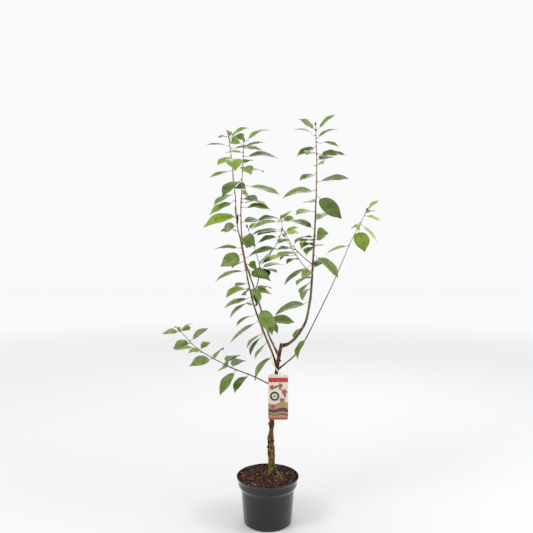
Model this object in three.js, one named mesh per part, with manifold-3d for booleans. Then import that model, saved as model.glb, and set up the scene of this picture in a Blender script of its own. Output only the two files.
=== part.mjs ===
// Young sweet cherry tree standing in a round nursery pot. Millimetres, +Z up.
// The origin is the centre of the pot's flat underside, and -Y is the front.
import * as THREE from 'three';
import { mergeVertices } from 'three/addons/utils/BufferGeometryUtils.js';
import Module from 'manifold-3d';

// Driving dimensions
const GAP = 0.3;                // clearance between pieces that touch
const POT_HEIGHT = 167;
const RIM_RADIUS = 115;
const COLLAR_RADIUS = 111.5;    // the band under the rim
const COLLAR_HEIGHT = 38;       // from the rim down to the step
const BODY_RADIUS = 98.5;       // just under the step
const FOOT_RADIUS = 89;
const FLAT_FOOT_RADIUS = 84;    // the flat underside, inside the rounded edge
const COLLAR_FOOT_RADIUS = 109; // the collar's lower edge
const POT_WALL = 2;
const POT_BASE = 6;
const RIM_DEPTH = 5;            // height of the thin lip round the top
const POT_SIDES = 30;
const SOIL_DEPTH_BELOW_RIM = 5;
const SOIL_LEVEL = POT_HEIGHT - SOIL_DEPTH_BELOW_RIM;
const TAG_WIDTH = 74;
const TAG_HEIGHT = 169;
const TAG_THICKNESS = 0.8;
const LEAF_WIDTH = 64;          // width of the lobe that one or two leaves fill
const LEAF_THICKNESS = 26;
const CORE_RADIUS = 22;         // the short-stalked leaves and twigs close round a shoot
const CORE_SIDES = 5;
const GOLDEN_ANGLE = THREE.MathUtils.degToRad(137.5);

const wasm = await Module();
wasm.setup();

const root = new THREE.Group();

function material(color, roughness, metalness = 0) {
  return new THREE.MeshStandardMaterial({ color, roughness, metalness });
}

const potPlastic = material(0x242527, 0.35);
const compost = material(0x3d241b, 0.9);
const rootstockBark = material(0x4d3a24, 0.85);
const shootBark = material(0x5b3a28, 0.7);
const leafGreen = material(0x46702c, 0.55);
const tagPrint = material(0xe9dfcd, 0.5);
const tagTie = material(0xf0efe9, 0.5);

// Merges the shared vertices of a closed geometry and turns it into a solid.
function solidOf(geometry) {
  const bare = new THREE.BufferGeometry();
  bare.setAttribute('position', geometry.getAttribute('position'));
  bare.setIndex(geometry.getIndex());
  const merged = mergeVertices(bare, 1e-4);
  const index = merged.getIndex().array;
  const kept = [];
  for (let i = 0; i < index.length; i += 3) {
    const [a, b, c] = [index[i], index[i + 1], index[i + 2]];
    if (a !== b && b !== c && c !== a) kept.push(a, b, c);
  }
  return new wasm.Manifold(new wasm.Mesh({
    numProp: 3,
    vertProperties: new Float32Array(merged.getAttribute('position').array),
    triVerts: new Uint32Array(kept),
  }));
}

function geometryOf(solid) {
  const mesh = solid.getMesh();
  const geometry = new THREE.BufferGeometry();
  const positions = new Float32Array(mesh.numVert * 3);
  for (let v = 0; v < mesh.numVert; v += 1) {
    for (let axis = 0; axis < 3; axis += 1) {
      positions[v * 3 + axis] = mesh.vertProperties[v * mesh.numProp + axis];
    }
  }
  geometry.setAttribute('position', new THREE.BufferAttribute(positions, 3));
  geometry.setIndex(new THREE.BufferAttribute(new Uint32Array(mesh.triVerts), 1));
  geometry.computeVertexNormals();
  return geometry;
}

function largestPart(solid) {
  const parts = solid.decompose();
  parts.sort((a, b) => b.volume() - a.volume());
  return parts[0];
}

function addPiece(name, solid, finish) {
  const mesh = new THREE.Mesh(geometryOf(solid), finish);
  mesh.name = name;
  root.add(mesh);
}

// A repeatable number from 0 to 1 for each seed.
function unevenness(seed) {
  const wave = Math.sin(seed * 12.9898) * 43758.5453;
  return wave - Math.floor(wave);
}

// Nursery pot: a thin lip, a collar, a step, and a body that tapers to the foot.
function makePot() {
  const step = POT_HEIGHT - COLLAR_HEIGHT;
  const outside = [
    [0, 0], [FLAT_FOOT_RADIUS, 0], [FOOT_RADIUS - 1, 2], [FOOT_RADIUS, 6],
    [BODY_RADIUS, step - 6], [BODY_RADIUS + 1, step - 2],
    [COLLAR_FOOT_RADIUS - 4, step + 4], [COLLAR_FOOT_RADIUS, step + 10],
    [COLLAR_RADIUS, POT_HEIGHT - RIM_DEPTH - 3], [RIM_RADIUS - 1.5, POT_HEIGHT - RIM_DEPTH],
    [RIM_RADIUS, POT_HEIGHT - 2], [RIM_RADIUS - 1, POT_HEIGHT], [COLLAR_RADIUS + 1, POT_HEIGHT],
  ];
  const inside = [
    [COLLAR_RADIUS - POT_WALL, SOIL_LEVEL], [COLLAR_FOOT_RADIUS - POT_WALL, step + 11],
    [BODY_RADIUS - POT_WALL, step - 3], [FOOT_RADIUS - POT_WALL, POT_BASE + 2],
    [FLAT_FOOT_RADIUS + 1, POT_BASE], [0, POT_BASE],
  ];
  const profile = [...outside, ...inside];
  const outline = profile.map(([radius, height]) => new THREE.Vector2(radius, height));
  const shell = new THREE.LatheGeometry(outline, POT_SIDES).rotateX(Math.PI / 2);
  return cutDrainageChannels(solidOf(shell));
}

// Wide shallow channels under the foot's edge let water out on a flat floor.
function cutDrainageChannels(pot) {
  const count = 4;
  const width = 40;
  const depth = 4.5;
  const length = 40;
  const innerRadius = 62;
  const firstChannel = THREE.MathUtils.degToRad(-45);
  let cut = pot;
  for (let i = 0; i < count; i += 1) {
    const channel = new THREE.BoxGeometry(length, width, depth * 2);
    channel.translate(innerRadius + length / 2, 0, 0);
    channel.rotateZ(firstChannel + (i * 2 * Math.PI) / count);
    cut = cut.subtract(solidOf(channel));
  }
  return cut;
}

// Compost fills the pot to a flat top, where the trunk stands.
function makeSoil() {
  const step = POT_HEIGHT - COLLAR_HEIGHT;
  const clear = POT_WALL + GAP + 0.4;   // the extra 0.4 clears the pot's flat facets
  const profile = [
    [0, POT_BASE + GAP], [FLAT_FOOT_RADIUS, POT_BASE + GAP], [FOOT_RADIUS - clear, POT_BASE + 3],
    [BODY_RADIUS - clear, step - 3], [COLLAR_FOOT_RADIUS - clear, step + 12],
    [COLLAR_RADIUS - clear, SOIL_LEVEL], [0, SOIL_LEVEL],
  ];
  const outline = profile.map(([radius, height]) => new THREE.Vector2(radius, height));
  return solidOf(new THREE.LatheGeometry(outline, POT_SIDES).rotateX(Math.PI / 2));
}

// A limb: rings of a rounded section along a curve, closed with a flat cap at each end.
// radiusAt gives the radius at a share of the curve's length.
function limb(curve, { from = 0, to = 1, steps = 8, sides = 8, radiusAt }) {
  const frames = curve.computeFrenetFrames(steps, false);
  const positions = [];
  for (let ring = 0; ring <= steps; ring += 1) {
    const share = from + ((to - from) * ring) / steps;
    const onCurve = THREE.MathUtils.clamp(share, 0, 1);
    const tangent = curve.getTangentAt(onCurve);
    const beyond = (share - onCurve) * curve.getLength();
    const centre = curve.getPointAt(onCurve).addScaledVector(tangent, beyond);
    const across = frames.normals[0].clone();
    across.addScaledVector(tangent, -across.dot(tangent)).normalize();
    const other = tangent.clone().cross(across);
    const radius = radiusAt(share);
    for (let side = 0; side < sides; side += 1) {
      const turn = (side * 2 * Math.PI) / sides;
      const point = centre.clone();
      point.addScaledVector(across, Math.cos(turn) * radius);
      point.addScaledVector(other, Math.sin(turn) * radius);
      positions.push(point.x, point.y, point.z);
    }
  }
  const index = [];
  for (let ring = 0; ring < steps; ring += 1) {
    for (let side = 0; side < sides; side += 1) {
      const a = ring * sides + side;
      const b = ring * sides + ((side + 1) % sides);
      index.push(a, b, a + sides, b, b + sides, a + sides);
    }
  }
  for (let side = 1; side < sides - 1; side += 1) {
    index.push(0, side + 1, side);
    const last = steps * sides;
    index.push(last, last + side, last + side + 1);
  }
  const geometry = new THREE.BufferGeometry();
  geometry.setAttribute('position', new THREE.Float32BufferAttribute(positions, 3));
  geometry.setIndex(index);
  return geometry;
}

function curveThrough(points) {
  return new THREE.CatmullRomCurve3(points.map(([x, y, z]) => new THREE.Vector3(x, y, z)));
}

// Radius from a few stations, each a share of the length and a radius.
function stations(list, grow = 0) {
  return (share) => {
    let i = 1;
    while (i < list.length - 1 && list[i][0] < share) i += 1;
    const [[s0, r0], [s1, r1]] = [list[i - 1], list[i]];
    const blend = THREE.MathUtils.clamp((share - s0) / (s1 - s0), 0, 1);
    return THREE.MathUtils.lerp(r0, r1, blend) + grow;
  };
}

// Everything under the soil's top is cut off level.
function aboveSoil(solid) {
  const size = 400;
  const under = new THREE.BoxGeometry(size, size, size);
  under.translate(0, 0, SOIL_LEVEL + GAP - size / 2);
  return solid.subtract(solidOf(under));
}

// Trunk: a thick knobbly rootstock up to the graft, a slimmer stem above it that leans to
// the right, and a pruned top. One surface root spreads forward to the right.
const TRUNK_TOP = 652;
const trunkCurve = curveThrough([
  [14, 25, 140], [14, 25, 232], [11, 24, 289], [15, 22, 346], [20, 20, 440],
  [33, 20, 544], [40, 20, 590], [52, 20, TRUNK_TOP],
]);

function makeTrunk(grow = 0) {
  const radius = stations([
    [0, 19], [0.05, 14.4], [0.12, 13.4], [0.2, 13.8], [0.24, 14], [0.29, 11.8], [0.35, 8],
    [0.4, 10.2], [0.45, 8.2], [0.6, 7.6], [0.68, 7.8], [0.78, 6.6], [0.84, 7.2], [1, 6.2],
  ], grow);
  const stem = solidOf(limb(trunkCurve, { steps: 25, sides: 9, radiusAt: radius }));
  const rootCurve = curveThrough([[15, 24, 196], [27, 15, 172], [40, 5, 160], [56, -7, 150]]);
  const rootRadius = stations([[0, 6], [0.6, 7], [1, 3.5]], grow);
  const surfaceRoot = solidOf(limb(rootCurve, { steps: 5, sides: 7, radiusAt: rootRadius }));
  return aboveSoil(stem.add(surfaceRoot));
}

// Hang tag: a thin card with round corners and one hole, resting against the trunk.
const tagCentre = new THREE.Vector3(39, 11.7, 453);
const tagHole = new THREE.Vector2(13.7, 79.1);
const TAG_HOLE_RADIUS = 3.2;
const TAG_CORNER = 8;

function makeTag() {
  const [w, h, r] = [TAG_WIDTH / 2, TAG_HEIGHT / 2, TAG_CORNER];
  const outline = new THREE.Shape();
  outline.absarc(w - r, h - r, r, 0, Math.PI / 2);
  outline.absarc(r - w, h - r, r, Math.PI / 2, Math.PI);
  outline.absarc(r - w, r - h, r, Math.PI, Math.PI * 1.5);
  outline.absarc(w - r, r - h, r, Math.PI * 1.5, Math.PI * 2);
  const hole = new THREE.Path();
  hole.absarc(tagHole.x, tagHole.y, TAG_HOLE_RADIUS, 0, Math.PI * 2, true);
  outline.holes.push(hole);
  const card = new THREE.ExtrudeGeometry(outline, {
    depth: TAG_THICKNESS, bevelEnabled: false, curveSegments: 4,
  });
  card.rotateX(Math.PI / 2);
  card.translate(tagCentre.x, tagCentre.y, tagCentre.z);
  return solidOf(card);
}

// Tie: a flat strap in a long loop round the trunk under the fork, through the tag's hole.
const loopCentre = new THREE.Vector3(36, 17, 553);
const loopAlong = new THREE.Vector3(0.625, 0, -0.781).normalize();

function makeTagLoop() {
  const [long, short, thick, width] = [32, 10.4, 0.8, 3];
  const strap = new THREE.Shape();
  strap.absellipse(0, 0, long + thick / 2, short + thick / 2, 0, Math.PI * 2);
  const inside = new THREE.Path();
  inside.absellipse(0, 0, long - thick / 2, short - thick / 2, 0, Math.PI * 2, true);
  strap.holes.push(inside);
  const loop = new THREE.ExtrudeGeometry(strap, {
    depth: width, bevelEnabled: false, curveSegments: 10,
  });
  loop.translate(0, 0, -width / 2);
  const back = new THREE.Vector3(0, 1, 0);
  const matrix = new THREE.Matrix4().makeBasis(loopAlong, back, loopAlong.clone().cross(back));
  return solidOf(loop.applyMatrix4(matrix.setPosition(loopCentre)));
}

// The shoots. Each path runs from the trunk or from the shoot that bears it to its tip.
const shoots = {
  left_outer: {
    path: [[34, 20, 567], [16, 30, 618], [-2, 40, 659], [-44, 60, 765], [-70, 74, 860],
      [-105, 96, 1038], [-130, 112, 1240], [-146, 120, 1370], [-156, 124, 1460]],
    radius: [3.9, 1.2],
  },
  left_inner: {
    path: [[41, 20, 606], [19, 6, 652], [1, -6, 695], [-35, -32, 817], [-62, -48, 898],
      [-92, -72, 1033], [-95, -84, 1132], [-89, -98, 1278], [-84, -106, 1378]],
    radius: [3.8, 1.2],
  },
  right: {
    path: [[50, 20, 643], [72, 17, 648], [91, 14, 661], [108, 11, 679], [131, 5, 714],
      [146, 0, 753], [160, -8, 849], [168, -20, 1000], [174, -24, 1110], [180, -14, 1300],
      [177, 4, 1468]],
    radius: [5.4, 1.2],
  },
  right_thin: {
    path: [[36, 20, 552], [101, 50, 600], [139, 70, 649], [201, 104, 761], [262, 134, 879],
      [329, 166, 1026], [377, 182, 1116], [404, 190, 1169]],
    radius: [2.6, 1.2],
  },
  lower_left: {
    path: [[27, 20, 486], [1, 18, 502], [-58, -6, 536], [-137, -50, 577], [-224, -94, 634],
      [-261, -112, 667], [-304, -134, 720]],
    radius: [2.7, 1.2],
  },
  middle_back: {
    path: [[-50, -40, 843], [-39, -14, 871], [-32, 22, 907], [-30, 58, 949], [-6, 84, 980],
      [23, 104, 1007], [57, 132, 1079]],
    radius: [2, 1],
  },
  middle_front: {
    path: [[165, -16, 946], [135, -42, 968], [108, -62, 991], [86, -78, 1015], [53, -102, 1067]],
    radius: [2, 1],
  },
};

for (const shoot of Object.values(shoots)) {
  shoot.curve = curveThrough(shoot.path);
}

function makeBough(shoot, to, grow = 0) {
  const radius = stations([[0, shoot.radius[0]], [1, shoot.radius[1]]], grow);
  return solidOf(limb(shoot.curve, { to, steps: 8, sides: 6, radiusAt: radius }));
}

// One lobe of foliage: a flattened pointed body from the shoot to a leaf's tip.
const LOBE_SIDES = 5;
const MOST_ROLL = 1.2;
const lobeOutline = [[0, 0], [0.8, 0.25], [0.9, 0.62], [0, 1]];

function lobe(start, tip, { width, roll }, grow) {
  const outline = lobeOutline.map(([radius, along]) => new THREE.Vector2(radius, along));
  const geometry = new THREE.LatheGeometry(outline, LOBE_SIDES);
  const axis = tip.clone().sub(start);
  const length = axis.length() + grow * 2;
  const forward = axis.normalize();
  const level = forward.clone().cross(new THREE.Vector3(0, 0, 1)).normalize();
  const side = level.applyAxisAngle(forward, roll);
  const normal = side.clone().cross(forward);
  const matrix = new THREE.Matrix4().makeBasis(
    side.multiplyScalar(width / 2 + grow),
    forward.clone().multiplyScalar(length),
    normal.multiplyScalar(LEAF_THICKNESS / 2 + grow),
  );
  matrix.setPosition(start.clone().addScaledVector(forward, -grow));
  return solidOf(geometry.applyMatrix4(matrix));
}

// One mass of foliage: an uneven core along its stretch of the shoot, with lobes spread
// round it by the golden angle out to the reach of the leaves on each side.
function makeMass(mass, grow = 0) {
  const { curve } = mass.shoot;
  const inset = (GAP / 2 - grow) / curve.getLength();
  const middle = (mass.from + mass.to) / 2;
  const core = CORE_RADIUS;
  const swell = stations([
    [mass.from, core * 0.5], [mass.from + (middle - mass.from) / 2, core],
    [middle, core * (0.8 + 0.4 * unevenness(mass.seed))],
    [(middle + mass.to) / 2, core * 0.95], [mass.to, core * 0.5],
  ], grow);
  let body = solidOf(limb(curve, {
    from: mass.from + inset, to: mass.to - inset, steps: 4, sides: CORE_SIDES, radiusAt: swell,
  }));
  for (let i = 0; i < mass.lobes; i += 1) {
    const turn = mass.turn + i * GOLDEN_ANGLE;
    const share = THREE.MathUtils.lerp(mass.from, mass.to, (i + 0.5) / mass.lobes);
    const start = curve.getPointAt(share);
    const [cosine, sine] = [Math.cos(turn), Math.sin(turn)];
    const sideReach = cosine > 0 ? mass.right : mass.left;
    const depthReach = sine > 0 ? mass.back : mass.front;
    const reach = 1 / Math.hypot(cosine / sideReach, sine / depthReach);
    const uneven = 0.86 + 0.14 * unevenness(mass.seed + i);
    const tip = start.clone().add(new THREE.Vector3(
      cosine * reach * uneven,
      sine * reach * uneven,
      mass.lift * (0.5 + unevenness(mass.seed * 3 + i)),
    ));
    const width = LEAF_WIDTH * (0.8 + 0.4 * unevenness(mass.seed * 7 + i));
    const roll = MOST_ROLL * (2 * unevenness(mass.seed * 5 + i) - 1);
    body = body.add(lobe(start, tip, { width, roll }, grow));
  }
  for (const { share, tip } of mass.tips) {
    const start = curve.getPointAt(THREE.MathUtils.lerp(mass.from, mass.to, share));
    body = body.add(lobe(start, new THREE.Vector3(...tip), { width: LEAF_WIDTH, roll: 0.4 }, grow));
  }
  return body;
}

// The leafy stretch of each shoot, split into masses. left, right, front and back are how
// far the leaf tips stand from the shoot, and lift is how far they rise: one number for
// each mass from the lowest up. tips are the furthest leaf tips, by mass.
const foliage = [
  {
    shoot: 'left_outer', from: 0.11, turn: 2.6, lobes: 5,
    left: [104, 112, 125, 98], right: [50, 60, 60, 60], lift: [-55, -45, -25, 0],
    front: 60, back: 105,
    tips: [
      { mass: 0, share: 0.1, tip: [-52, 50, 508] },
      { mass: 3, share: 0.9, tip: [-204, 128, 1443] },
      { mass: 3, share: 0.95, tip: [-69, 104, 1483] },
    ],
  },
  {
    shoot: 'left_inner', from: 0.13, turn: 0.4, lobes: 5,
    left: [50, 55, 60, 60], right: [112, 120, 135, 125], lift: [-30, -10, -5, 0],
    front: 105, back: 55,
    tips: [
      { mass: 0, share: 0.6, tip: [91, -10, 735] },
      { mass: 3, share: 0.95, tip: [8, -90, 1420] },
    ],
  },
  {
    shoot: 'right', from: 0.17, turn: 3.3, lobes: 5,
    left: [125, 105, 130, 85, 84], right: [28, 95, 100, 118, 84], lift: [-40, -25, 0, 0, 15],
    front: 95, back: 95,
    tips: [
      { mass: 0, share: 0.4, tip: [31, -14, 764] },
      { mass: 4, share: 0.95, tip: [257, 6, 1505] },
      { mass: 4, share: 0.9, tip: [116, 4, 1486] },
    ],
  },
  {
    shoot: 'right_thin', from: 0.79, turn: 1.3, lobes: 6,
    left: [70], right: [64], lift: [-30],
    front: 70, back: 80,
    tips: [{ mass: 0, share: 0.95, tip: [458, 190, 1206] }],
  },
  {
    shoot: 'lower_left', from: 0.27, turn: 4.2, lobes: 4,
    left: [60, 60], right: [70, 85], lift: [-30, -5],
    front: 70, back: 70,
    tips: [
      { mass: 0, share: 0.8, tip: [-184, -70, 484] },
      { mass: 1, share: 0.95, tip: [-360, -140, 711] },
      { mass: 1, share: 0.9, tip: [-258, -130, 748] },
    ],
  },
  {
    shoot: 'middle_back', from: 0.34, turn: 0.9, lobes: 4,
    left: [60, 80], right: [80, 60], lift: [-10, 0],
    front: 40, back: 90,
    tips: [{ mass: 1, share: 0.95, tip: [105, 140, 1171] }],
  },
  {
    shoot: 'middle_front', from: 0.36, turn: 3.0, lobes: 6,
    left: [80], right: [60], lift: [6],
    front: 85, back: 50,
    tips: [],
  },
];

const taken = [makeTrunk(GAP)];

function clearOfOthers(solid) {
  let cut = solid;
  for (const other of taken) cut = cut.subtract(other);
  return largestPart(cut);
}

addPiece('pot', makePot(), potPlastic);
addPiece('soil', makeSoil(), compost);
addPiece('trunk', makeTrunk(), rootstockBark);
addPiece('tag', makeTag(), tagPrint);
addPiece('tag_loop', makeTagLoop(), tagTie);

foliage.forEach((group, groupNumber) => {
  const shoot = shoots[group.shoot];
  const count = group.left.length;
  const bough = clearOfOthers(makeBough(shoot, group.from - GAP / shoot.curve.getLength()));
  addPiece(`bough_${group.shoot}`, bough, shootBark);
  taken.push(makeBough(shoot, group.from, GAP));
  for (let i = 0; i < count; i += 1) {
    const mass = {
      shoot,
      from: THREE.MathUtils.lerp(group.from, 1, i / count),
      to: THREE.MathUtils.lerp(group.from, 1, (i + 1) / count),
      left: group.left[i],
      right: group.right[i],
      front: group.front,
      back: group.back,
      lift: group.lift[i],
      lobes: group.lobes,
      turn: group.turn + i * 1.1,
      tips: group.tips.filter((one) => one.mass === i),
      seed: 11 + groupNumber * 17 + i * 5,
    };
    addPiece(`leaves_${group.shoot}_${i + 1}`, clearOfOthers(makeMass(mass)), leafGreen);
    taken.push(makeMass(mass, GAP));
  }
});

// One leaf hangs alone from the thin right shoot, low down.
const loneLeafShare = 0.21;
const loneLeafTip = new THREE.Vector3(115, 44, 593);
const loneLeafStart = shoots.right_thin.curve.getPointAt(loneLeafShare);
const loneLeaf = lobe(loneLeafStart, loneLeafTip, { width: 40, roll: 0.4 }, 0);
addPiece('leaf_right_thin_low', clearOfOthers(loneLeaf), leafGreen);

export default root;
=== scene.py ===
"""Looks of the potted young sweet cherry tree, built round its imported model.

Metres, +Z up. The origin is the centre of the pot's underside, and -Y is the front.
"""
import math

import bpy
import numpy as np
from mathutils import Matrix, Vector, noise


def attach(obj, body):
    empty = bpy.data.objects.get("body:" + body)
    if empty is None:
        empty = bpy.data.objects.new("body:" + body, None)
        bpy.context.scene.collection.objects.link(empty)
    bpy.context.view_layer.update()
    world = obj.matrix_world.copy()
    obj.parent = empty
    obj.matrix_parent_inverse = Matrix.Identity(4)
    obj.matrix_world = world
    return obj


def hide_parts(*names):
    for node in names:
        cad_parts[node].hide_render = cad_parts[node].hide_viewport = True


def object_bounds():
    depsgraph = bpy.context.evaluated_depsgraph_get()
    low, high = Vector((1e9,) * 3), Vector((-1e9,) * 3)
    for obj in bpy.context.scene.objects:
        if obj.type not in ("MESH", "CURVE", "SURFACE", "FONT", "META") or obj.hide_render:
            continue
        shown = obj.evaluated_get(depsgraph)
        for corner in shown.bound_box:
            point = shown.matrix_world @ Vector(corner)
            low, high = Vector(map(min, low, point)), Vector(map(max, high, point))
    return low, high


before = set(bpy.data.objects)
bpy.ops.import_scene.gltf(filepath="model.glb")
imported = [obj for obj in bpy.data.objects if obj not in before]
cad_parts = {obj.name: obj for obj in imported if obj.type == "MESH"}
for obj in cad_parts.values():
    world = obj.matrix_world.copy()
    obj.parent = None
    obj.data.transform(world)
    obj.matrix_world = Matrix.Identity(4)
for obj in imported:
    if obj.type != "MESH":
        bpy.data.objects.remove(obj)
cad_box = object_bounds()

# The studio
# A level camera stands just under two metres in front, a little over halfway up the tree.
# The pale floor runs into a nearly white surround, and three soft boxes light it from above.
EYE = np.array([-0.0044, -1.910, 0.939])  # where the front is seen from
SENSOR_WIDTH = 36.0  # millimetres
FOCAL_LENGTH = 34.85  # millimetres
FLOOR_RADIUS = 30.0
FLOOR_SIDES = 64
FLOOR_FADE = (0.4, 7.0)  # from the pot, where the floor begins and ends to turn paler
FLOOR_NEAR = (0.60, 0.60, 0.595)
FLOOR_FAR = (0.985, 0.985, 0.99)
SURROUND = (0.955, 0.955, 0.965)
SURROUND_STRENGTH = 1.0
CREASE = 50  # degrees between two faces, over which their shared edge is sharp
WEAR_SCALE = 90.0  # patches to the metre in which every surface is duller or shinier

camera_data = bpy.data.cameras.new("camera")
camera_data.sensor_width = SENSOR_WIDTH
camera_data.lens = FOCAL_LENGTH
camera = bpy.data.objects.new("camera", camera_data)
camera.location = EYE
camera.rotation_euler = (math.radians(90), 0, 0)
bpy.context.scene.collection.objects.link(camera)
bpy.context.scene.camera = camera
bpy.context.scene.view_settings.view_transform = "Standard"


def mixed(tree, share, first, second):
    """Output socket of a colour mix. Each input is a socket or a plain colour."""
    mix = tree.nodes.new("ShaderNodeMix")
    mix.data_type = "RGBA"
    for socket, value in ((mix.inputs[0], share), (mix.inputs[6], first), (mix.inputs[7], second)):
        if isinstance(value, bpy.types.NodeSocket):
            tree.links.new(value, socket)
        elif socket == mix.inputs[0]:
            socket.default_value = value
        else:
            socket.default_value = (*value, 1)
    return mix.outputs[2]


def position(tree):
    """Where a point of the surface lies, in metres."""
    return tree.nodes.new("ShaderNodeTexCoord").outputs["Object"]


def ranged(tree, value, start=(0, 1), end=(0, 1)):
    """A number that runs over the end range while the value runs over the start range."""
    spread = tree.nodes.new("ShaderNodeMapRange")
    for socket, number in zip(("From Min", "From Max", "To Min", "To Max"), (*start, *end)):
        spread.inputs[socket].default_value = number
    tree.links.new(value, spread.inputs["Value"])
    return spread.outputs["Result"]


def patches(tree, scale, low=0.4, high=0.6, stretch=(1, 1, 1), detail=4.0):
    """A share from 0 to 1 that wanders over the surface, with patches 1/scale metres wide."""
    mapping = tree.nodes.new("ShaderNodeMapping")
    mapping.inputs["Scale"].default_value = stretch
    texture = tree.nodes.new("ShaderNodeTexNoise")
    texture.inputs["Scale"].default_value = scale
    texture.inputs["Detail"].default_value = detail
    tree.links.new(position(tree), mapping.inputs["Vector"])
    tree.links.new(mapping.outputs["Vector"], texture.inputs["Vector"])
    return ranged(tree, texture.outputs["Fac"], (low, high))


def finish(name, colour, roughness, height=None, depth=0.0, **constants):
    """A surface from a function that gives its colour, its roughness range and its relief."""
    material = bpy.data.materials.new(name)
    material.use_nodes = True
    tree = material.node_tree
    shader = tree.nodes["Principled BSDF"]
    tree.links.new(colour(tree), shader.inputs["Base Color"])
    wear = patches(tree, WEAR_SCALE, 0.3, 0.7)
    tree.links.new(ranged(tree, wear, end=roughness), shader.inputs["Roughness"])
    if height is not None:
        bump = tree.nodes.new("ShaderNodeBump")
        bump.inputs["Distance"].default_value = depth
        tree.links.new(height(tree), bump.inputs["Height"])
        tree.links.new(bump.outputs["Normal"], shader.inputs["Normal"])
    for socket, value in constants.items():
        shader.inputs[socket.replace("_", " ")].default_value = value
    return material


def piece(name, points, faces, finishes, which=None, crease=CREASE):
    """A piece with a mesh of its own. which gives the finish of each face."""
    mesh = bpy.data.meshes.new(name)
    mesh.from_pydata(np.asarray(points), [], faces)
    for one in finishes:
        mesh.materials.append(one)
    if which is not None:
        mesh.polygons.foreach_set("material_index", np.asarray(which, dtype=np.int32))
    mesh.shade_smooth()
    mesh.set_sharp_from_angle(angle=math.radians(crease))
    made = bpy.data.objects.new(name, mesh)
    bpy.context.scene.collection.objects.link(made)
    return made


def bands(rings, sides):
    """Faces of a wall that runs through rings of points."""
    faces = []
    for ring in range(rings - 1):
        for side in range(sides):
            a = ring * sides + side
            b = ring * sides + (side + 1) % sides
            faces.append((a, b, b + sides, a + sides))
    return faces


def lathe(outline, sides):
    """Points and faces of an outline of (radius, height) turned round the Z axis."""
    turns = np.arange(sides) * 2 * math.pi / sides
    radius, height = np.array(outline, float).T
    points = np.stack([
        radius[:, None] * np.cos(turns),
        radius[:, None] * np.sin(turns),
        np.repeat(height[:, None], sides, axis=1),
    ], axis=2).reshape(-1, 3)
    return points, bands(len(outline), sides)


def floor_colour(tree):
    """Pale grey round the pot, where the lamps shine most, and nearly white far off."""
    reach = tree.nodes.new("ShaderNodeVectorMath")
    reach.operation = "LENGTH"
    tree.links.new(position(tree), reach.inputs[0])
    return mixed(tree, ranged(tree, reach.outputs["Value"], FLOOR_FADE), FLOOR_NEAR, FLOOR_FAR)


floor_finish = finish("studio_floor", floor_colour, (0.6, 0.8))
points, faces = lathe([(0.001, 0), (FLOOR_RADIUS, 0)], FLOOR_SIDES)
floor = piece("floor", points, faces, [floor_finish])

world = bpy.data.worlds.new("surround")
world.use_nodes = True
background = world.node_tree.nodes["Background"]
background.inputs["Color"].default_value = (*SURROUND, 1)
background.inputs["Strength"].default_value = SURROUND_STRENGTH
bpy.context.scene.world = world


def soft_box(name, place, aim, size, power):
    """A square lamp that faces the aim."""
    lamp = bpy.data.lights.new(name, "AREA")
    lamp.size = size
    lamp.energy = power
    holder = bpy.data.objects.new(name, lamp)
    holder.location = place
    holder.rotation_euler = (Vector(aim) - Vector(place)).to_track_quat("-Z", "Y").to_euler()
    bpy.context.scene.collection.objects.link(holder)


soft_box("box_left", (-1.8, -1.3, 2.7), (0, 0, 0.9), 1.1, 42)
soft_box("box_right", (2.1, -0.7, 2.3), (0, 0, 0.8), 1.1, 30)
soft_box("box_behind", (0.4, 2.2, 2.7), (0, 0, 0.9), 1.4, 24)

# The pot
# A round five litre nursery pot of thin glossy black plastic, moulded in one piece. It has
# a thin lip, a collar, a step, and a rounded foot with four drainage channels and eight holes.
MM = 0.001
POT_SIDES = 144
CHANNELS = 4
CHANNEL_START = 62 * MM  # from the pot's middle
CHANNEL_LENGTH = 40 * MM
CHANNEL_WIDTH = 40 * MM
CHANNEL_DEPTH = 4.5 * MM
DRAIN_HOLES = 8
DRAIN_CIRCLE = 48 * MM
DRAIN_RADIUS = 6 * MM
DRAIN_DEPTH = 2.5 * MM
DRAIN_SIDES = 24
PLASTIC = ((0.004, 0.004, 0.005), (0.008, 0.008, 0.009))
SPECKS = (0.035, 0.032, 0.030)
DUST = (0.07, 0.065, 0.06)
DUST_HEIGHTS = (35 * MM, 0.0)  # where the dust begins, and where it is thickest
DUST_SHARE = 0.4

# From the middle of the underside up the outside, over the lip and down the inside.
POT_OUTLINE = MM * np.array([
    (0.5, 0), (60, 0), (83, 0), (85.8, 0.5), (87.8, 2), (88.8, 4.4), (89.3, 8),
    (91.4, 32), (94.6, 74), (97.9, 116), (98.5, 121), (99.1, 124.4), (100.6, 127.2),
    (103.2, 129.8), (106, 132.4), (108, 135.4), (108.9, 138.6), (109.4, 143),
    (110.4, 152), (111.1, 157.6), (112.2, 160.4), (113.8, 162.4), (114.7, 164), (115, 165.4),
    (114.8, 166.6), (114.2, 167.1), (113.2, 167.1), (112.4, 166.6), (111.6, 165.2),
    (109.7, 161), (107.1, 140), (96.7, 126), (87.1, 9), (84.6, 6), (0.5, 6),
])


def by_height(tree, start, end=(0, 1)):
    """A number that runs over the end range from one height to another."""
    split = tree.nodes.new("ShaderNodeSeparateXYZ")
    tree.links.new(position(tree), split.inputs["Vector"])
    return ranged(tree, split.outputs["Z"], start, end)


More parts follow.
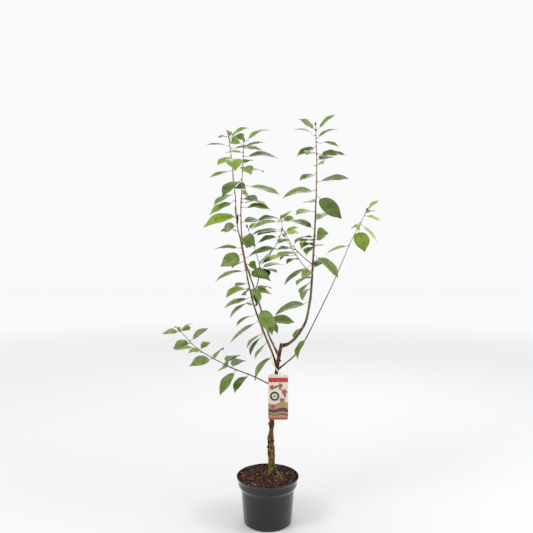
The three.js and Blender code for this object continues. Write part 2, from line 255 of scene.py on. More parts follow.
def plastic_colour(tree):
    """Near black with grey specks, and a little greyer where dust clings near the foot."""
    clean = mixed(tree, patches(tree, 14.0, 0.35, 0.65), *PLASTIC)
    clinging = tree.nodes.new("ShaderNodeMath")
    clinging.operation = "MULTIPLY"
    tree.links.new(by_height(tree, DUST_HEIGHTS, (0, DUST_SHARE)), clinging.inputs[0])
    tree.links.new(patches(tree, 160.0, 0.45, 0.7, detail=6.0), clinging.inputs[1])
    dusty = mixed(tree, clinging.outputs["Value"], clean, DUST)
    return mixed(tree, patches(tree, 420.0, 0.68, 0.76), dusty, SPECKS)


def caps(rings, sides):
    """The first and the last face that close a wall through rings of points."""
    last = (rings - 1) * sides
    return [tuple(range(sides))[::-1], tuple(range(last, last + sides))]


pot_finish = finish(
    "nursery_pot_plastic", plastic_colour, (0.13, 0.24),
    lambda tree: patches(tree, 30.0, 0.2, 0.8, (1, 1, 0.2)), 0.0010,
    Specular_IOR_Level=0.08, Coat_Weight=0.9, Coat_Roughness=0.08,
)
points, faces = lathe(POT_OUTLINE, POT_SIDES)
faces += caps(len(POT_OUTLINE), POT_SIDES)
pot = piece("nursery_pot", points, [face[::-1] for face in faces], [pot_finish])


def cut_from(body, points, faces):
    """Cuts a closed shape out of a piece."""
    cutter = piece("cutter", points, faces, [])
    cut = body.modifiers.new("cut", "BOOLEAN")
    cut.object = cutter
    cut.operation = "DIFFERENCE"
    bpy.context.view_layer.objects.active = body
    bpy.ops.object.modifier_apply(modifier=cut.name)
    bpy.data.objects.remove(cutter)


def bar(length, width, height, start, turn):
    """A block that starts at a radius and points outwards, half of it below the floor."""
    cosine, sine = math.cos(turn), math.sin(turn)
    points = []
    for along in (start, start + length):
        for across in (-width / 2, width / 2):
            for up in (-height, height):
                points.append((along * cosine - across * sine, along * sine + across * cosine, up))
    faces = [(0, 1, 3, 2), (4, 6, 7, 5), (0, 4, 5, 1), (2, 3, 7, 6), (0, 2, 6, 4), (1, 5, 7, 3)]
    return points, faces


for channel in range(CHANNELS):
    quarter = math.radians(45) + channel * 2 * math.pi / CHANNELS
    cut_from(pot, *bar(CHANNEL_LENGTH, CHANNEL_WIDTH, CHANNEL_DEPTH, CHANNEL_START, quarter))
for hole in range(DRAIN_HOLES):
    turn = hole * 2 * math.pi / DRAIN_HOLES
    points, faces = lathe([(DRAIN_RADIUS, -2 * MM), (DRAIN_RADIUS, DRAIN_DEPTH)], DRAIN_SIDES)
    points = points + (DRAIN_CIRCLE * math.cos(turn), DRAIN_CIRCLE * math.sin(turn), 0)
    cut_from(pot, points, faces + caps(2, DRAIN_SIDES))
pot.data.set_sharp_from_angle(angle=math.radians(CREASE))
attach(pot, "root")
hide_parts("pot")

# The compost
# Damp peat and composted bark, filled nearly to the rim. The top is a loose layer of bark
# flakes, red-brown to nearly black, with a few pale splinters of wood.
SOIL_LEVEL = 161.5 * MM
SOIL_RADIUS = 108.5 * MM
SOIL_SIDES = 120
SOIL_RINGS = 40
SOIL_BELOW = MM * np.array([  # the rest of its outline, just inside the pot's wall
    (108, 158), (106, 141), (95, 126), (85.5, 10), (83, 6.4), (0.5, 6.4),
])
LUMPS = 45  # to the metre
LUMP_HEIGHT = 1.6 * MM
FLAKES = 2300
FLAKE_LENGTH = (3, 7, 19)  # millimetres: the shortest, the most common and the longest
FLAKE_BREADTH = (0.4, 0.85)  # of its length
SPLINTER_BREADTH = 0.18  # of its length
FLAKE_THICKNESS = (1.4, 3.2)  # millimetres
FLAKE_TILT = 0.32  # radians, the usual tilt
FLAKE_LIFT = (0.2, 3.2)  # millimetres over the peat
FLAKE_CORNERS = 7
FLAKE_CREASE = 25  # degrees
TRUNK_FOOT = np.array([14, 24]) * MM
TRUNK_CLEAR = 15 * MM  # from the trunk's middle to the nearest flake's
chance = np.random.default_rng(31)


def mottled(dark, light, scale):
    """A colour that wanders between two, with patches 1/scale metres wide."""
    return lambda tree: mixed(tree, patches(tree, scale, 0.35, 0.65), dark, light)


earth = finish(
    "damp_peat", mottled((0.010, 0.005, 0.004), (0.030, 0.013, 0.008), 180.0), (0.75, 0.95),
    lambda tree: patches(tree, 500.0, 0.2, 0.8), 0.002, Specular_IOR_Level=0.1,
)
rings = np.linspace(0.5 * MM, SOIL_RADIUS, SOIL_RINGS)
bed = [*((radius, SOIL_LEVEL) for radius in rings), *SOIL_BELOW]
points, faces = lathe(bed, SOIL_SIDES)
for point in points[:SOIL_RINGS * SOIL_SIDES]:
    point[2] += LUMP_HEIGHT * noise.fractal(Vector(point * LUMPS), 0.8, 2.0, 4)
faces += [cap[::-1] for cap in caps(len(bed), SOIL_SIDES)]
compost = piece("compost", points, [face[::-1] for face in faces], [earth])
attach(compost, "root")
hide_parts("soil")


def turned(points, angles):
    """Points turned about X, then Y, then Z."""
    (cx, cy, cz), (sx, sy, sz) = np.cos(angles), np.sin(angles)
    about_x = np.array([[1, 0, 0], [0, cx, -sx], [0, sx, cx]])
    about_y = np.array([[cy, 0, sy], [0, 1, 0], [-sy, 0, cy]])
    about_z = np.array([[cz, -sz, 0], [sz, cz, 0], [0, 0, 1]])
    return points @ (about_z @ about_y @ about_x).T


def flake(length, breadth, thickness):
    """A broken flake of bark: an uneven outline with a smaller face on each side."""
    corners = FLAKE_CORNERS
    turn = (np.arange(corners) + chance.uniform(-0.3, 0.3, corners)) * 2 * math.pi / corners
    reach = chance.uniform(0.75, 1.1, corners)
    rim = np.column_stack([np.cos(turn) * reach * length / 2, np.sin(turn) * reach * breadth / 2])
    low = np.column_stack([rim * 0.8, np.full(corners, -thickness / 2)])
    high = np.column_stack([rim * 0.7, thickness / 2 * chance.uniform(0.5, 1.2, corners)])
    rim = np.column_stack([rim, chance.uniform(-0.2, 0.2, corners) * thickness])
    return np.vstack([low, rim, high]), caps(3, corners) + bands(3, corners)


def joined(parts):
    """One mesh from parts of (points, faces, finish), with one finish a part or one a face."""
    points, faces, which, start = [], [], [], 0
    for part_points, part_faces, part_finish in parts:
        points.append(part_points)
        faces += [tuple(start + corner for corner in face) for face in part_faces]
        which.append(np.broadcast_to(part_finish, len(part_faces)))
        start += len(part_points)
    return np.vstack(points), faces, np.concatenate(which)


flake_finishes = [
    finish(name, mottled(dark, light, 260.0), (0.55, 0.9), lambda tree: patches(tree, 700.0), 0.0008,
           Specular_IOR_Level=0.15)
    for name, dark, light in (
        ("bark_flake_black", (0.009, 0.005, 0.003), (0.024, 0.012, 0.007)),
        ("bark_flake_brown", (0.032, 0.014, 0.008), (0.064, 0.027, 0.015)),
        ("bark_flake_red", (0.075, 0.027, 0.015), (0.135, 0.050, 0.028)),
        ("bark_flake_tan", (0.200, 0.095, 0.055), (0.330, 0.175, 0.105)),
        ("wood_splinter", (0.520, 0.370, 0.250), (0.700, 0.550, 0.410)),
    )
]
FLAKE_SHARES = (0.38, 0.36, 0.20, 0.045, 0.015)  # of each of those kinds
SPLINTER = 4
parts = []
while len(parts) < FLAKES:
    radius = (SOIL_RADIUS - 2 * MM) * math.sqrt(chance.random())
    turn = chance.uniform(0, 2 * math.pi)
    centre = np.array([radius * math.cos(turn), radius * math.sin(turn)])
    kind = chance.choice(len(FLAKE_SHARES), p=FLAKE_SHARES)
    length = chance.triangular(*FLAKE_LENGTH) * MM
    if np.linalg.norm(centre - TRUNK_FOOT) < TRUNK_CLEAR or radius + length / 2 > SOIL_RADIUS:
        continue
    breadth = length * (SPLINTER_BREADTH if kind == SPLINTER else chance.uniform(*FLAKE_BREADTH))
    points, faces = flake(length, breadth, chance.uniform(*FLAKE_THICKNESS) * MM)
    tilt = chance.normal(0, FLAKE_TILT, 2)
    points = turned(points, (tilt[0], tilt[1], chance.uniform(0, 2 * math.pi)))
    lift = SOIL_LEVEL + chance.uniform(*FLAKE_LIFT) * MM
    parts.append((points + (*centre, lift), faces, int(kind)))
points, faces, which = joined(parts)
flakes = piece("bark_flakes", points, faces, flake_finishes, which, crease=FLAKE_CREASE)
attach(flakes, "root")

# The trunk
# A stout knobbly rootstock with four roots that show at its foot, and the slimmer cherry
# stem grafted on it, which leans right and was pruned above its topmost shoot. Olive
# flaking bark below the graft, and dark brown bark with corky marks above it.
TRUNK_PATH = MM * np.array([
    (14, 25, 148), (14.5, 25, 215), (13.5, 25, 241), (11, 24, 289), (12, 23, 309),
    (13.8, 22, 327), (15, 22, 350), (20, 20, 440), (33, 20, 544), (40, 20, 590), (52, 20, 652),
])
TRUNK_GIRTH = MM * np.array([
    (148, 19), (162, 15.5), (180, 13), (200, 12.6), (214, 12), (226, 13.4), (241, 13.7), (252, 12.6),
    (264, 13), (282, 11.4), (300, 11.2), (309, 9.8), (324, 8.0), (334, 8.6), (350, 11.2), (362, 9.0),
    (380, 7.8), (450, 7.6), (500, 7.8), (544, 6.6), (576, 7.2), (652, 6.0),
])
# Each root's path, and its radius at the trunk and at its end in millimetres.
ROOTS = [
    (MM * np.array([(17, 20, 198), (28, 17, 181), (42, 3, 169), (50, -18, 166), (56, -42, 160)]), 4.6, 2.4),
    (MM * np.array([(13, 25, 182), (2, 24, 172), (-10, 27, 165), (-22, 29, 156)]), 5.4, 2.5),
    (MM * np.array([(15, 26, 184), (24, 38, 172), (31, 50, 165), (38, 60, 156)]), 5.6, 2.5),
    (MM * np.array([(13, 24, 178), (9, 13, 170), (4, 2, 165), (-1, -8, 158)]), 5.0, 2.2),
]
# Swellings and knots of the bark: where each is, and its radius.
KNOBS = MM * np.array([
    (3.2, 19, 299, 4.8), (19.6, 18, 299, 4.0), (24, 24, 229, 4.4), (4, 20, 240, 4.4),
    (20, 21, 348, 5.2), (5.6, 21, 350, 5.0), (26, 16, 405, 3.0), (12, 24, 388, 3.0),
    (4, 33, 250, 5.0), (19, 33, 310, 4.0), (14, 12, 262, 4.4), (20, 13, 212, 3.6),
])
# Dark stubs of side shoots that were rubbed off, in the same way.
STUBS = MM * np.array([
    (0.2, 15, 266, 4.6), (20.4, 14, 289, 4.4), (3.6, 12.5, 286, 4.6), (47.6, 15, 587, 3.4),
])
CUT_LEVEL = 650.2 * MM  # the pruning cut's faces lie over this height
CUT_RADIUS = 6.6 * MM
CUT_UPWARD = 0.8  # the least that a face of the cut looks up, where 1 is straight up
SCAR_REACH = 1.05  # of a stub's radius, the bark round it that is scarred
CURVE_STEPS = 24  # points of a curve from one point of its path to the next
CRUST = 1.1 * MM  # edge of the cells that fuse the trunk's limbs into one skin
TRUNK_STEP = 4 * MM  # from ring to ring
TRUNK_SIDES = 28
ROOT_SIDES = 12
COLLAR_STEP = 3 * MM
COLLAR_RINGS = 14
COLLAR_SIDES = 14
COLLAR_SWELLING = ((0, 5, 13), (1.7, 1.35, 0.9))  # at these rings, this much of the shoot's radius
OLD_BARK = (0.26, 0.34)  # heights between which the rough old bark gives way to smoother
KNOB_DEPTH = 1.7 * MM
CRACK_DEPTH = 0.8 * MM
WRINKLE_DEPTH = 0.2 * MM
GRAFT = (0.262, 0.294)  # heights between which the rootstock's bark gives way to the stem's
ROOTSTOCK_BARK = ((0.038, 0.022, 0.005), (0.160, 0.110, 0.030))
FLAKED_BARK = (0.230, 0.110, 0.040)
PALE_BARK = (0.270, 0.215, 0.105)
STEM_BARK = ((0.034, 0.015, 0.007), (0.132, 0.057, 0.026))
CORKY_MARKS = (0.250, 0.140, 0.080)


def along(path, step):
    """Evenly spaced points on a smooth curve through the path's points."""
    knots = np.vstack([2 * path[0] - path[1], path, 2 * path[-1] - path[-2]])
    share = np.linspace(0, 1, CURVE_STEPS, endpoint=False)[:, None]
    stretches = []
    for a, b, c, d in zip(knots, knots[1:], knots[2:], knots[3:]):
        bent = (2 * a - 5 * b + 4 * c - d) * share**2 + (3 * b - a - 3 * c + d) * share**3
        stretches.append(0.5 * (2 * b + (c - a) * share + bent))
    fine = np.vstack([*stretches, path[-1:]])
    travelled = np.append(0, np.cumsum(np.linalg.norm(np.diff(fine, axis=0), axis=1)))
    even = np.linspace(0, travelled[-1], max(3, round(travelled[-1] / step)))
    return np.column_stack([np.interp(even, travelled, fine[:, axis]) for axis in range(3)])


def unit(vectors):
    """Vectors of length one."""
    return vectors / np.linalg.norm(vectors, axis=-1, keepdims=True)


def square_to(vector, axis):
    """The way in which a vector leaves an axis at right angles."""
    return unit(vector - axis * (vector @ axis))


def tube(centres, radii, sides):
    """A closed limb: a ring of the given radius round each centre, without twist."""
    ahead = unit(np.gradient(centres, axis=0))
    across = np.cross(ahead[0], (0.3, 0.9, 0.1))
    turns = np.arange(sides) * 2 * math.pi / sides
    rings = []
    for centre, forward, radius in zip(centres, ahead, radii):
        across = square_to(across, forward)
        other = np.cross(forward, across)
        rings.append(centre + radius * (np.cos(turns)[:, None] * across + np.sin(turns)[:, None] * other))
    return np.vstack(rings), caps(len(centres), sides) + bands(len(centres), sides)


def ball(centre, radius, sides=12, rings=9):
    """A small closed knob."""
    heights = np.linspace(-0.95, 0.95, rings)
    points, faces = lathe([(radius * math.sqrt(1 - h * h), radius * h) for h in heights], sides)
    return points + centre, faces + caps(rings, sides)


# Each shoot's path from its foot to its tip, and its radius at both ends. Millimetres.
SHOOTS = {
    "left_outer": ([(34, 20, 567), (16, 30, 618), (-2, 40, 659), (-44, 60, 765), (-70, 74, 860),
                    (-105, 96, 1038), (-118, 102, 1100), (-129, 112, 1240), (-143, 120, 1370),
                    (-156, 124, 1460)], 3.9, 1.15),
    "left_inner": ([(41, 20, 606), (19, 6, 652), (1, -6, 695), (-35, -32, 817), (-62, -48, 898),
                    (-78, -58, 946), (-86, -65, 985), (-92, -72, 1033), (-95, -84, 1132),
                    (-89, -98, 1278), (-84, -106, 1378)], 3.8, 1.15),
    "right": ([(50, 20, 643), (72, 17, 648), (91, 14, 661), (108, 11, 679), (131, 5, 714),
               (146, 0, 753), (160, -8, 849), (168, -20, 1000), (174, -24, 1110), (180, -14, 1300),
               (177, 4, 1464)], 5.4, 1.15),
    "right_thin": ([(36, 20, 552), (101, 50, 600), (139, 70, 649), (201, 104, 761),
                    (262, 134, 879), (329, 166, 1026), (377, 182, 1116), (404, 190, 1169)], 3.0, 0.85),
    "lower_left": ([(27, 20, 486), (1, 18, 502), (-58, -6, 536), (-137, -50, 577), (-224, -94, 634),
                    (-261, -112, 667), (-304, -134, 720)], 2.7, 1.1),
    "middle_back": ([(-50, -40, 843), (-39, -14, 871), (-32, 22, 907), (-30, 58, 949), (-6, 84, 980),
                     (23, 104, 1007), (56, 130, 1079), (54, 139, 1133)], 2.0, 0.9),
    "middle_front": ([(165, -16, 946), (135, -42, 968), (108, -62, 991), (86, -78, 1015),
                      (53, -102, 1067)], 2.0, 0.9),
    "middle_left_twig": ([(-30, 58, 949), (-43, 66, 983), (-56, 74, 1029), (-78, 82, 1091)], 1.5, 0.8),
    "middle_right_twig": ([(164, -14, 911), (132, 20, 945), (115, 38, 971), (100, 50, 994),
                           (78, 66, 1029), (63, 78, 1057)], 1.6, 0.8),
}
FROM_TRUNK = ("left_outer", "left_inner", "right", "right_thin", "lower_left")


def bark_colour(tree):
    """Olive rootstock below the graft and dark brown stem above it, both mottled."""
    olive = mixed(tree, patches(tree, 70.0, 0.40, 0.62), *ROOTSTOCK_BARK)
    flaking = mixed(tree, patches(tree, 55.0, 0.54, 0.62, (1, 1, 0.4)), olive, FLAKED_BARK)
    pale = mixed(tree, patches(tree, 110.0, 0.60, 0.68, (1, 1, 0.5)), flaking, PALE_BARK)
    brown = mixed(tree, patches(tree, 90.0, 0.38, 0.64, (1, 1, 0.5)), *STEM_BARK)
    corky = mixed(tree, patches(tree, 240.0, 0.60, 0.66, (0.45, 0.45, 2.2), 1.0), brown, CORKY_MARKS)
    return mixed(tree, by_height(tree, GRAFT), pale, corky)


def bark_relief(tree):
    """Fine cracks that run up the stem."""
    return patches(tree, 420.0, 0.25, 0.75, (1, 1, 0.3), 8.0)


bark = finish(
    "rootstock_and_stem_bark", bark_colour, (0.6, 0.85), bark_relief, 0.0012, Specular_IOR_Level=0.18,
)
scar = finish(
    "healed_stub_bark", mottled((0.012, 0.007, 0.005), (0.040, 0.022, 0.014), 500.0), (0.6, 0.85),
    bark_relief, 0.0010, Specular_IOR_Level=0.15,
)
cut_wood = finish(
    "weathered_cut_wood", mottled((0.250, 0.170, 0.100), (0.380, 0.280, 0.180), 600.0), (0.7, 0.9),
)


def fused(name, parts, cell):
    """One skin over overlapping closed parts, softened where they meet."""
    points, faces, _ = joined(parts)
    made = piece(name, points, faces, [])
    remesh = made.modifiers.new("fuse", "REMESH")
    remesh.mode = "VOXEL"
    remesh.voxel_size = cell
    soften = made.modifiers.new("soften", "SMOOTH")
    soften.factor = 0.5
    soften.iterations = 4
    bpy.context.view_layer.objects.active = made
    for modifier in ("fuse", "soften"):
        bpy.ops.object.modifier_apply(modifier=modifier)
    return made


def crusted(made, depth_at):
    """Moves each point along its normal by depth_at(point)."""
    count = len(made.data.vertices)
    points, normals = np.empty(count * 3), np.empty(count * 3)
    made.data.vertices.foreach_get("co", points)
    made.data.vertices.foreach_get("normal", normals)
    points, normals = points.reshape(-1, 3), normals.reshape(-1, 3)
    depth = np.array([depth_at(point) for point in points])
    made.data.vertices.foreach_set("co", (points + normals * depth[:, None]).ravel())
    made.data.update()


def bark_depth(point):
    """Knobs and upright cracks on the rootstock, dying out to fine wrinkles on the stem."""
    x, y, z = point
    age = max(0.25, np.interp(z, OLD_BARK, (1.0, 0.0)))
    knobbly = noise.fractal(Vector((x * 75, y * 75, z * 48)), 0.9, 2.0, 3)
    cracked = noise.fractal(Vector((x * 300, y * 300, z * 90)), 0.7, 2.2, 3)
    ringed = noise.noise(Vector((x * 60, y * 60, z * 700)))
    return age * (KNOB_DEPTH * knobbly + CRACK_DEPTH * cracked) + (1.2 - age) * WRINKLE_DEPTH * ringed


centres = along(TRUNK_PATH, TRUNK_STEP)
parts = [(*tube(centres, np.interp(centres[:, 2], *TRUNK_GIRTH.T), TRUNK_SIDES), 0)]
for path, thick, thin in ROOTS:
    centres = along(path, TRUNK_STEP)
    parts.append((*tube(centres, MM * np.linspace(thick, thin, len(centres)), ROOT_SIDES), 0))
for x, y, z, radius in np.vstack([KNOBS, STUBS]):
    parts.append((*ball((x, y, z), radius), 0))
for name in FROM_TRUNK:
    path, thick, thin = SHOOTS[name]
    centres = along(MM * np.array(path), COLLAR_STEP)[:COLLAR_RINGS]
    collar = MM * thick * np.interp(np.arange(len(centres)), *COLLAR_SWELLING)
    parts.append((*tube(centres, collar, COLLAR_SIDES), 0))
trunk = fused("trunk_bark", parts, CRUST)
crusted(trunk, bark_depth)
for one in (bark, cut_wood, scar):
    trunk.data.materials.append(one)
top_centre = Vector(TRUNK_PATH[-1])
for face in trunk.data.polygons:
    on_cut = face.center.z > CUT_LEVEL and (face.center - top_centre).length < CUT_RADIUS
    on_stub = (np.linalg.norm(STUBS[:, :3] - face.center, axis=1) < SCAR_REACH * STUBS[:, 3]).any()
    if on_cut and face.normal.z > CUT_UPWARD:
        face.material_index = 1
    elif on_stub:
        face.material_index = 2
trunk.data.shade_smooth()
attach(trunk, "root")
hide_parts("trunk")

# The shoots
# Smooth young wood of one to two summers, brown with a pale bloom and pores, and paler
# where it still grows. Each leaf leaves a swollen node with a pointed bud above it.
SHOOT_STEP = 2.5 * MM
SHOOT_SIDES = 12
NODE_SWELLING = 0.42 * MM
NODE_HALF = 2.6 * MM
WANDER = 1.6 * MM  # how far a shoot strays from its path
SHOOT_WRINKLES = 0.12 * MM
YOUNG_BARK = ((0.092, 0.050, 0.015), (0.210, 0.128, 0.042))
BLOOM = (0.205, 0.160, 0.085)
PORES = (0.360, 0.270, 0.160)
TENDER_BARK = ((0.190, 0.105, 0.055), (0.260, 0.215, 0.095))
TENDER_PORES = (0.420, 0.330, 0.210)
TENDER_NODES = 0.45  # share of a shoot's nodes, from its tip down, that stand on tender wood


def pored(tree, skin, pores):
    """A shoot's skin with small pale pores across it."""
    return mixed(tree, patches(tree, 650.0, 0.66, 0.71, (1, 1, 1.6), 0.5), skin, pores)


def shoot_colour(tree):
    """Brown, paled by a waxy bloom."""
    brown = mixed(tree, patches(tree, 60.0, 0.35, 0.65, (1, 1, 0.4)), *YOUNG_BARK)
    bloom = mixed(tree, patches(tree, 35.0, 0.55, 0.75, (1, 1, 0.5)), brown, BLOOM)
    return pored(tree, bloom, PORES)


def tender_colour(tree):
    """Pale brown and greenish, where the shoot is still growing."""
    skin = mixed(tree, patches(tree, 50.0, 0.35, 0.65, (1, 1, 0.4)), *TENDER_BARK)
    return pored(tree, skin, TENDER_PORES)


shoot_finishes = [
    finish(name, colour, (0.4, 0.65), lambda tree: patches(tree, 800.0, 0.3, 0.7, (1, 1, 0.4)), 0.0006,
           Specular_IOR_Level=0.25)
    for name, colour in (("young_shoot_bark", shoot_colour), ("tender_shoot_bark", tender_colour))
]
# Where the leaves stand that the front shows, from the tip down. Each is the height of its
# node, how far its tip reaches to the right, how far it rises, the width that shows, less
# than none where that is the underside, and its green, from 0 for deep to 3 for young.
# The green is partly the leaf's own and partly painted light: fresh and young stand for
# leaves lit through or from above, and deep and mid carry some painted sheen. Millimetres.
LEAVES_SEEN = {
    "left_outer": [
        (1450, -3, 22, 22, 1), (1448, -42, -2, 6, 0), (1444, 83, 41, 13, 1), (1436, 40, 10, 11, 2),
        (1430, 46, -9, 26, 1), (1412, -95, 5, 6, 0), (1402, 118, 0, 10, 1), (1372, -55, -36, 20, 2),
        (1364, 15, -51, 62, 2), (1314, -94, -28, 11, 1), (1250, 46, -8, 29, 0),
        (1226, -85, -50, 17, 1), (1194, -104, -57, 24, 2), (1095, -56, -12, 34, 1),
        (1075, -70, -2, 7, 0), (1009, -107, -2, -13, 1), (986, -88, -48, 52, 1),
        (958, -48, -26, -10, 1), (924, -121, -46, 14, 1), (872, -54, -11, -14, 1),
        (856, -92, -38, 24, 2), (849, -18, -22, 7, 0), (820, -106, -40, 18, 1),
        (808, -87, -68, 13, 1), (786, -20, 3, 6, 0), (756, -80, -48, 10, 1), (732, -110, -83, 13, 1),
        (689, -64, -59, 13, 1), (684, -54, -84, 13, 0), (655, -47, -68, 12, 3),
        (606, -68, -98, 19, 1),
    ],
    "left_inner": [
        (1376, -20, 26, 26, 0), (1374, 93, 41, 11, 1), (1356, 80, 14, 8, 0), (1352, 64, -6, 10, 1),
        (1337, -66, -1, 7, 2), (1323, 122, -7, 14, 0), (1300, 35, 8, -8, 1), (1290, 32, -30, 32, 1),
        (1272, 78, -4, 8, 1), (1243, -69, -63, 27, 0), (1224, 134, -33, 16, 1),
        (1196, 26, -12, 18, 2), (1177, 62, -12, -22, 0), (1163, 92, -9, 6, 0),
        (1146, 108, -10, 19, 1), (1118, -133, -41, 31, 2), (1093, 76, 3, 17, 0),
        (1046, 51, -37, 44, 0), (1018, 14, -14, 12, 0), (968, 119, 33, 17, 0),
        (946, 38, -14, 28, 2), (926, 84, -40, 34, 0), (866, 10, -72, 34, 1), (855, 62, 2, 7, 0),
        (845, 56, -8, 19, 3), (790, 44, -103, 52, 1), (733, 112, 0, 30, 1), (738, 50, -46, 30, 0),
    ],
    "right": [
        (1443, -65, 43, 18, 1), (1441, 78, 63, 14, 1), (1421, -83, 23, 6, 0), (1412, 82, 32, 8, 0),
        (1395, 84, -16, 10, 0), (1380, -75, -38, 20, 0), (1353, -40, -3, 13, 0),
        (1351, 111, -2, 20, 0), (1329, 63, 14, 18, 0), (1308, 26, 8, 11, 2),
        (1277, -63, -24, 19, 0), (1247, 120, 12, -18, 1), (1217, -126, -30, 24, 1),
        (1195, 94, -82, 50, 0), (1174, -42, -2, 10, 0), (1138, -74, -12, 18, 1),
        (1104, 52, 30, 22, 1), (1076, -108, 27, 19, 0), (1050, 52, 11, 44, 1),
        (1048, -74, -28, 7, 0), (1032, -46, -12, 14, 1), (1016, -48, -14, 17, 2),
        (1012, -26, -34, 26, 2), (1010, 24, 4, 6, 0), (980, 92, -88, 28, 1),
        (944, -106, -74, 14, 1), (930, 56, 28, 19, 0), (926, -40, -34, 32, 1),
        (898, -57, -31, 10, 1), (884, -42, -47, -13, 1), (861, -32, -50, 23, 1), (806, -128, -48, 26, 1),
        (718, -32, -50, 14, 0),
    ],
    "right_thin": [
        (1165, 52, 42, 13, 3), (1155, 38, 6, 7, 1), (1145, 68, -22, 11, 3), (1130, -8, -46, 19, 3),
        (1112, 76, -84, 11, 3), (1104, -30, -14, 7, 1), (1090, 30, -94, 58, 2),
        (1022, -96, -40, 12, 2), (665, -34, -84, 23, 2),
    ],
    "lower_left": [
        (718, -18, 10, 6, 2), (717, 46, 28, 5, 1), (716, 36, 12, 17, 1), (715, -63, -9, 18, 1),
        (678, 65, 47, -19, 1), (672, -65, -17, 30, 1), (651, -61, -6, 10, 1), (645, 37, 26, 20, 1),
        (638, -50, -4, 16, 2), (614, -84, -30, 32, 1), (610, 34, 34, 6, 1), (588, 56, 30, -17, 1),
        (578, -30, -10, 22, 1), (574, 52, 24, -20, 2), (564, -60, -93, 32, 1),
        (542, -53, -70, 25, 0),
    ],
    "middle_back": [
        (1130, 30, 24, 7, 1), (1128, -100, -12, 15, 0), (1126, -8, -14, 17, 3), (1122, 46, 42, 10, 3),
        (1120, -123, -38, 16, 2), (1116, 52, 14, 19, 2), (1084, -125, -22, 16, 1),
        (1076, -100, -16, 17, 2), (1056, -86, -26, 17, 1), (1030, 47, 8, 10, 0),
        (936, 34, -40, 24, 0), (932, 95, 12, 11, 1), (930, -10, -34, 26, 0), (922, 68, -8, 7, 0),
    ],
    "middle_front": [
        (1058, 51, 17, 11, 2), (1052, 49, 6, 16, 3), (1032, -40, -12, 8, 0), (1012, -14, 4, 10, 3),
        (1000, -66, -2, 11, 0), (990, -84, -16, 12, 2),
    ],
    "middle_left_twig": [
        (1080, 42, 26, 10, 2), (1062, -20, -20, 10, 1),
    ],
    "middle_right_twig": [
        (1052, 6, 10, 12, 3), (990, -58, -28, 10, 0), (982, -138, -38, 16, 3), (966, -48, -20, 10, 0),
    ],
}
nodes = {}
for name, (path, thick, thin) in SHOOTS.items():
    nodes[name] = sorted(MM * height for height, *_ in LEAVES_SEEN[name])
    line = along(MM * np.array(path), SHOOT_STEP)
    radii = MM * np.linspace(thick, thin, len(line))
    wander = np.array([
        [noise.noise(Vector((axis * 9.1, 3.7, z * 22))) for axis in (1, 2)] for z in line[:, 2]
    ])
    line[:, :2] += wander * WANDER * np.linspace(0, 1, len(line))[:, None]
    for height in nodes[name]:
        radii = radii + NODE_SWELLING * np.exp(-((line[:, 2] - height) / NODE_HALF) ** 2)
    points, faces = tube(line, radii, SHOOT_SIDES)
    tender = nodes[name][-math.ceil(TENDER_NODES * len(nodes[name]))]
    which = np.append([0, 1], np.repeat(line[:-1, 2] > tender, SHOOT_SIDES))
    shoot = piece(f"shoot_{name}", points, faces, shoot_finishes, which)
    crusted(shoot, lambda at: SHOOT_WRINKLES * noise.noise(Vector(at * (500, 500, 160))))
    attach(shoot, "root")
    if f"bough_{name}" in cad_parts:
        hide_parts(f"bough_{name}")
    SHOOTS[name] = (line, radii)

# The leaves
# Sweet cherry blades, long ovals with a drawn-out tip, a saw-toothed edge and sunken veins,
# each a thin shell with its own upper side and underside. A red stalk with two small glands
# holds each one out. The youngest, at the tips of the shoots, are small and half folded.
FULL_BLADE = (84, 112)  # millimetres, shortest and longest of the grown blades
STALK_SHARE = (0.12, 0.20)  # of a leaf's length, with the stalk
LONGEST_STALK = 26 * MM
BLADE_BREADTH = 0.43  # of the blade's length
BROAD = 52 * MM  # the breadth that a blade keeps to, unless the front shows more of it
BROADEST = 66 * MM
BREADTH_SPREAD = (0.92, 1.08)  # from leaf to leaf
WIDEST = 0.62  # the most of its width that a blade can show, as a share of its length
LEAF_SPAN = 1.18  # from the node to the blade's tip, as a share of the blade's length
HIDDEN_SPAN = 1.2
LEAST_SPAN = 1.03  # of how far the front shows the leaf to reach
STEEP = (0.3, 20)  # a steep leaf's least depth, of its span, and least rise or fall, in millimetres
STALK_GIRTH = MM * np.array([1.6, 1.1, 0.9, 0.85, 0.85, 0.85, 0.8])  # radii from node to blade
STALK_SIDES = 7
STALK_LEVEL = (1, 1, 0.3)  # a stalk leaves its shoot more level than its leaf lies
STALK_BEND = (0.45, 0.2)  # of its length outwards and along the shoot
STALK_LIFT = 0.1  # of its length that it holds the blade's foot higher
GLAND = 0.75 * MM
GLAND_APART = 0.9 * MM  # from the stalk's middle
GLAND_BELOW = 0.12  # from the blade's foot, as a share of the stalk's upper half
YOUNG_STRETCH = 130 * MM  # how far below a shoot's tip the blades are still growing
GOLDEN_TURN = math.radians(137.5)  # from each leaf round the shoot to the next
NODE_SPACING = 27 * MM  # between the leaves that the front hides
NODE_CLEAR = 17 * MM  # from those to the leaves that the front shows
NODE_BELOW = 20 * MM  # from a shoot's tip to the first of them
BARE_BELOW = 1.1  # the thin right shoot hides no leaves below this height
BUD_SIDES = 7
BUD = 5.0 * MM
BUD_PLACE = (2.2 * MM, 1.6 * MM)  # from its leaf's node up the shoot, and outwards
BUD_LEAN = 0.55
TIP_BUD = 5.5 * MM
SLEEPING_BUD = 4.6 * MM
SLEEPING_LEAN = 0.7
SLEEPING_SUNK = 0.4 * MM
SLEEPING_SPACING = 33 * MM
SLEEPING_CLEAR = (45 * MM, 20 * MM)  # from the shoot's foot and from its lowest leaf
TUFT_LENGTHS = (10, 13, 16)  # millimetres, of the half-folded leaves at a shoot's tip
TUFT_STEP = 2 * MM
TUFT_LEAN = 0.38
TUFT_BREADTH = 0.5  # of its length
TUFT_BEND = (0.06, 0.9, 0.3)  # its arch, fold and twist
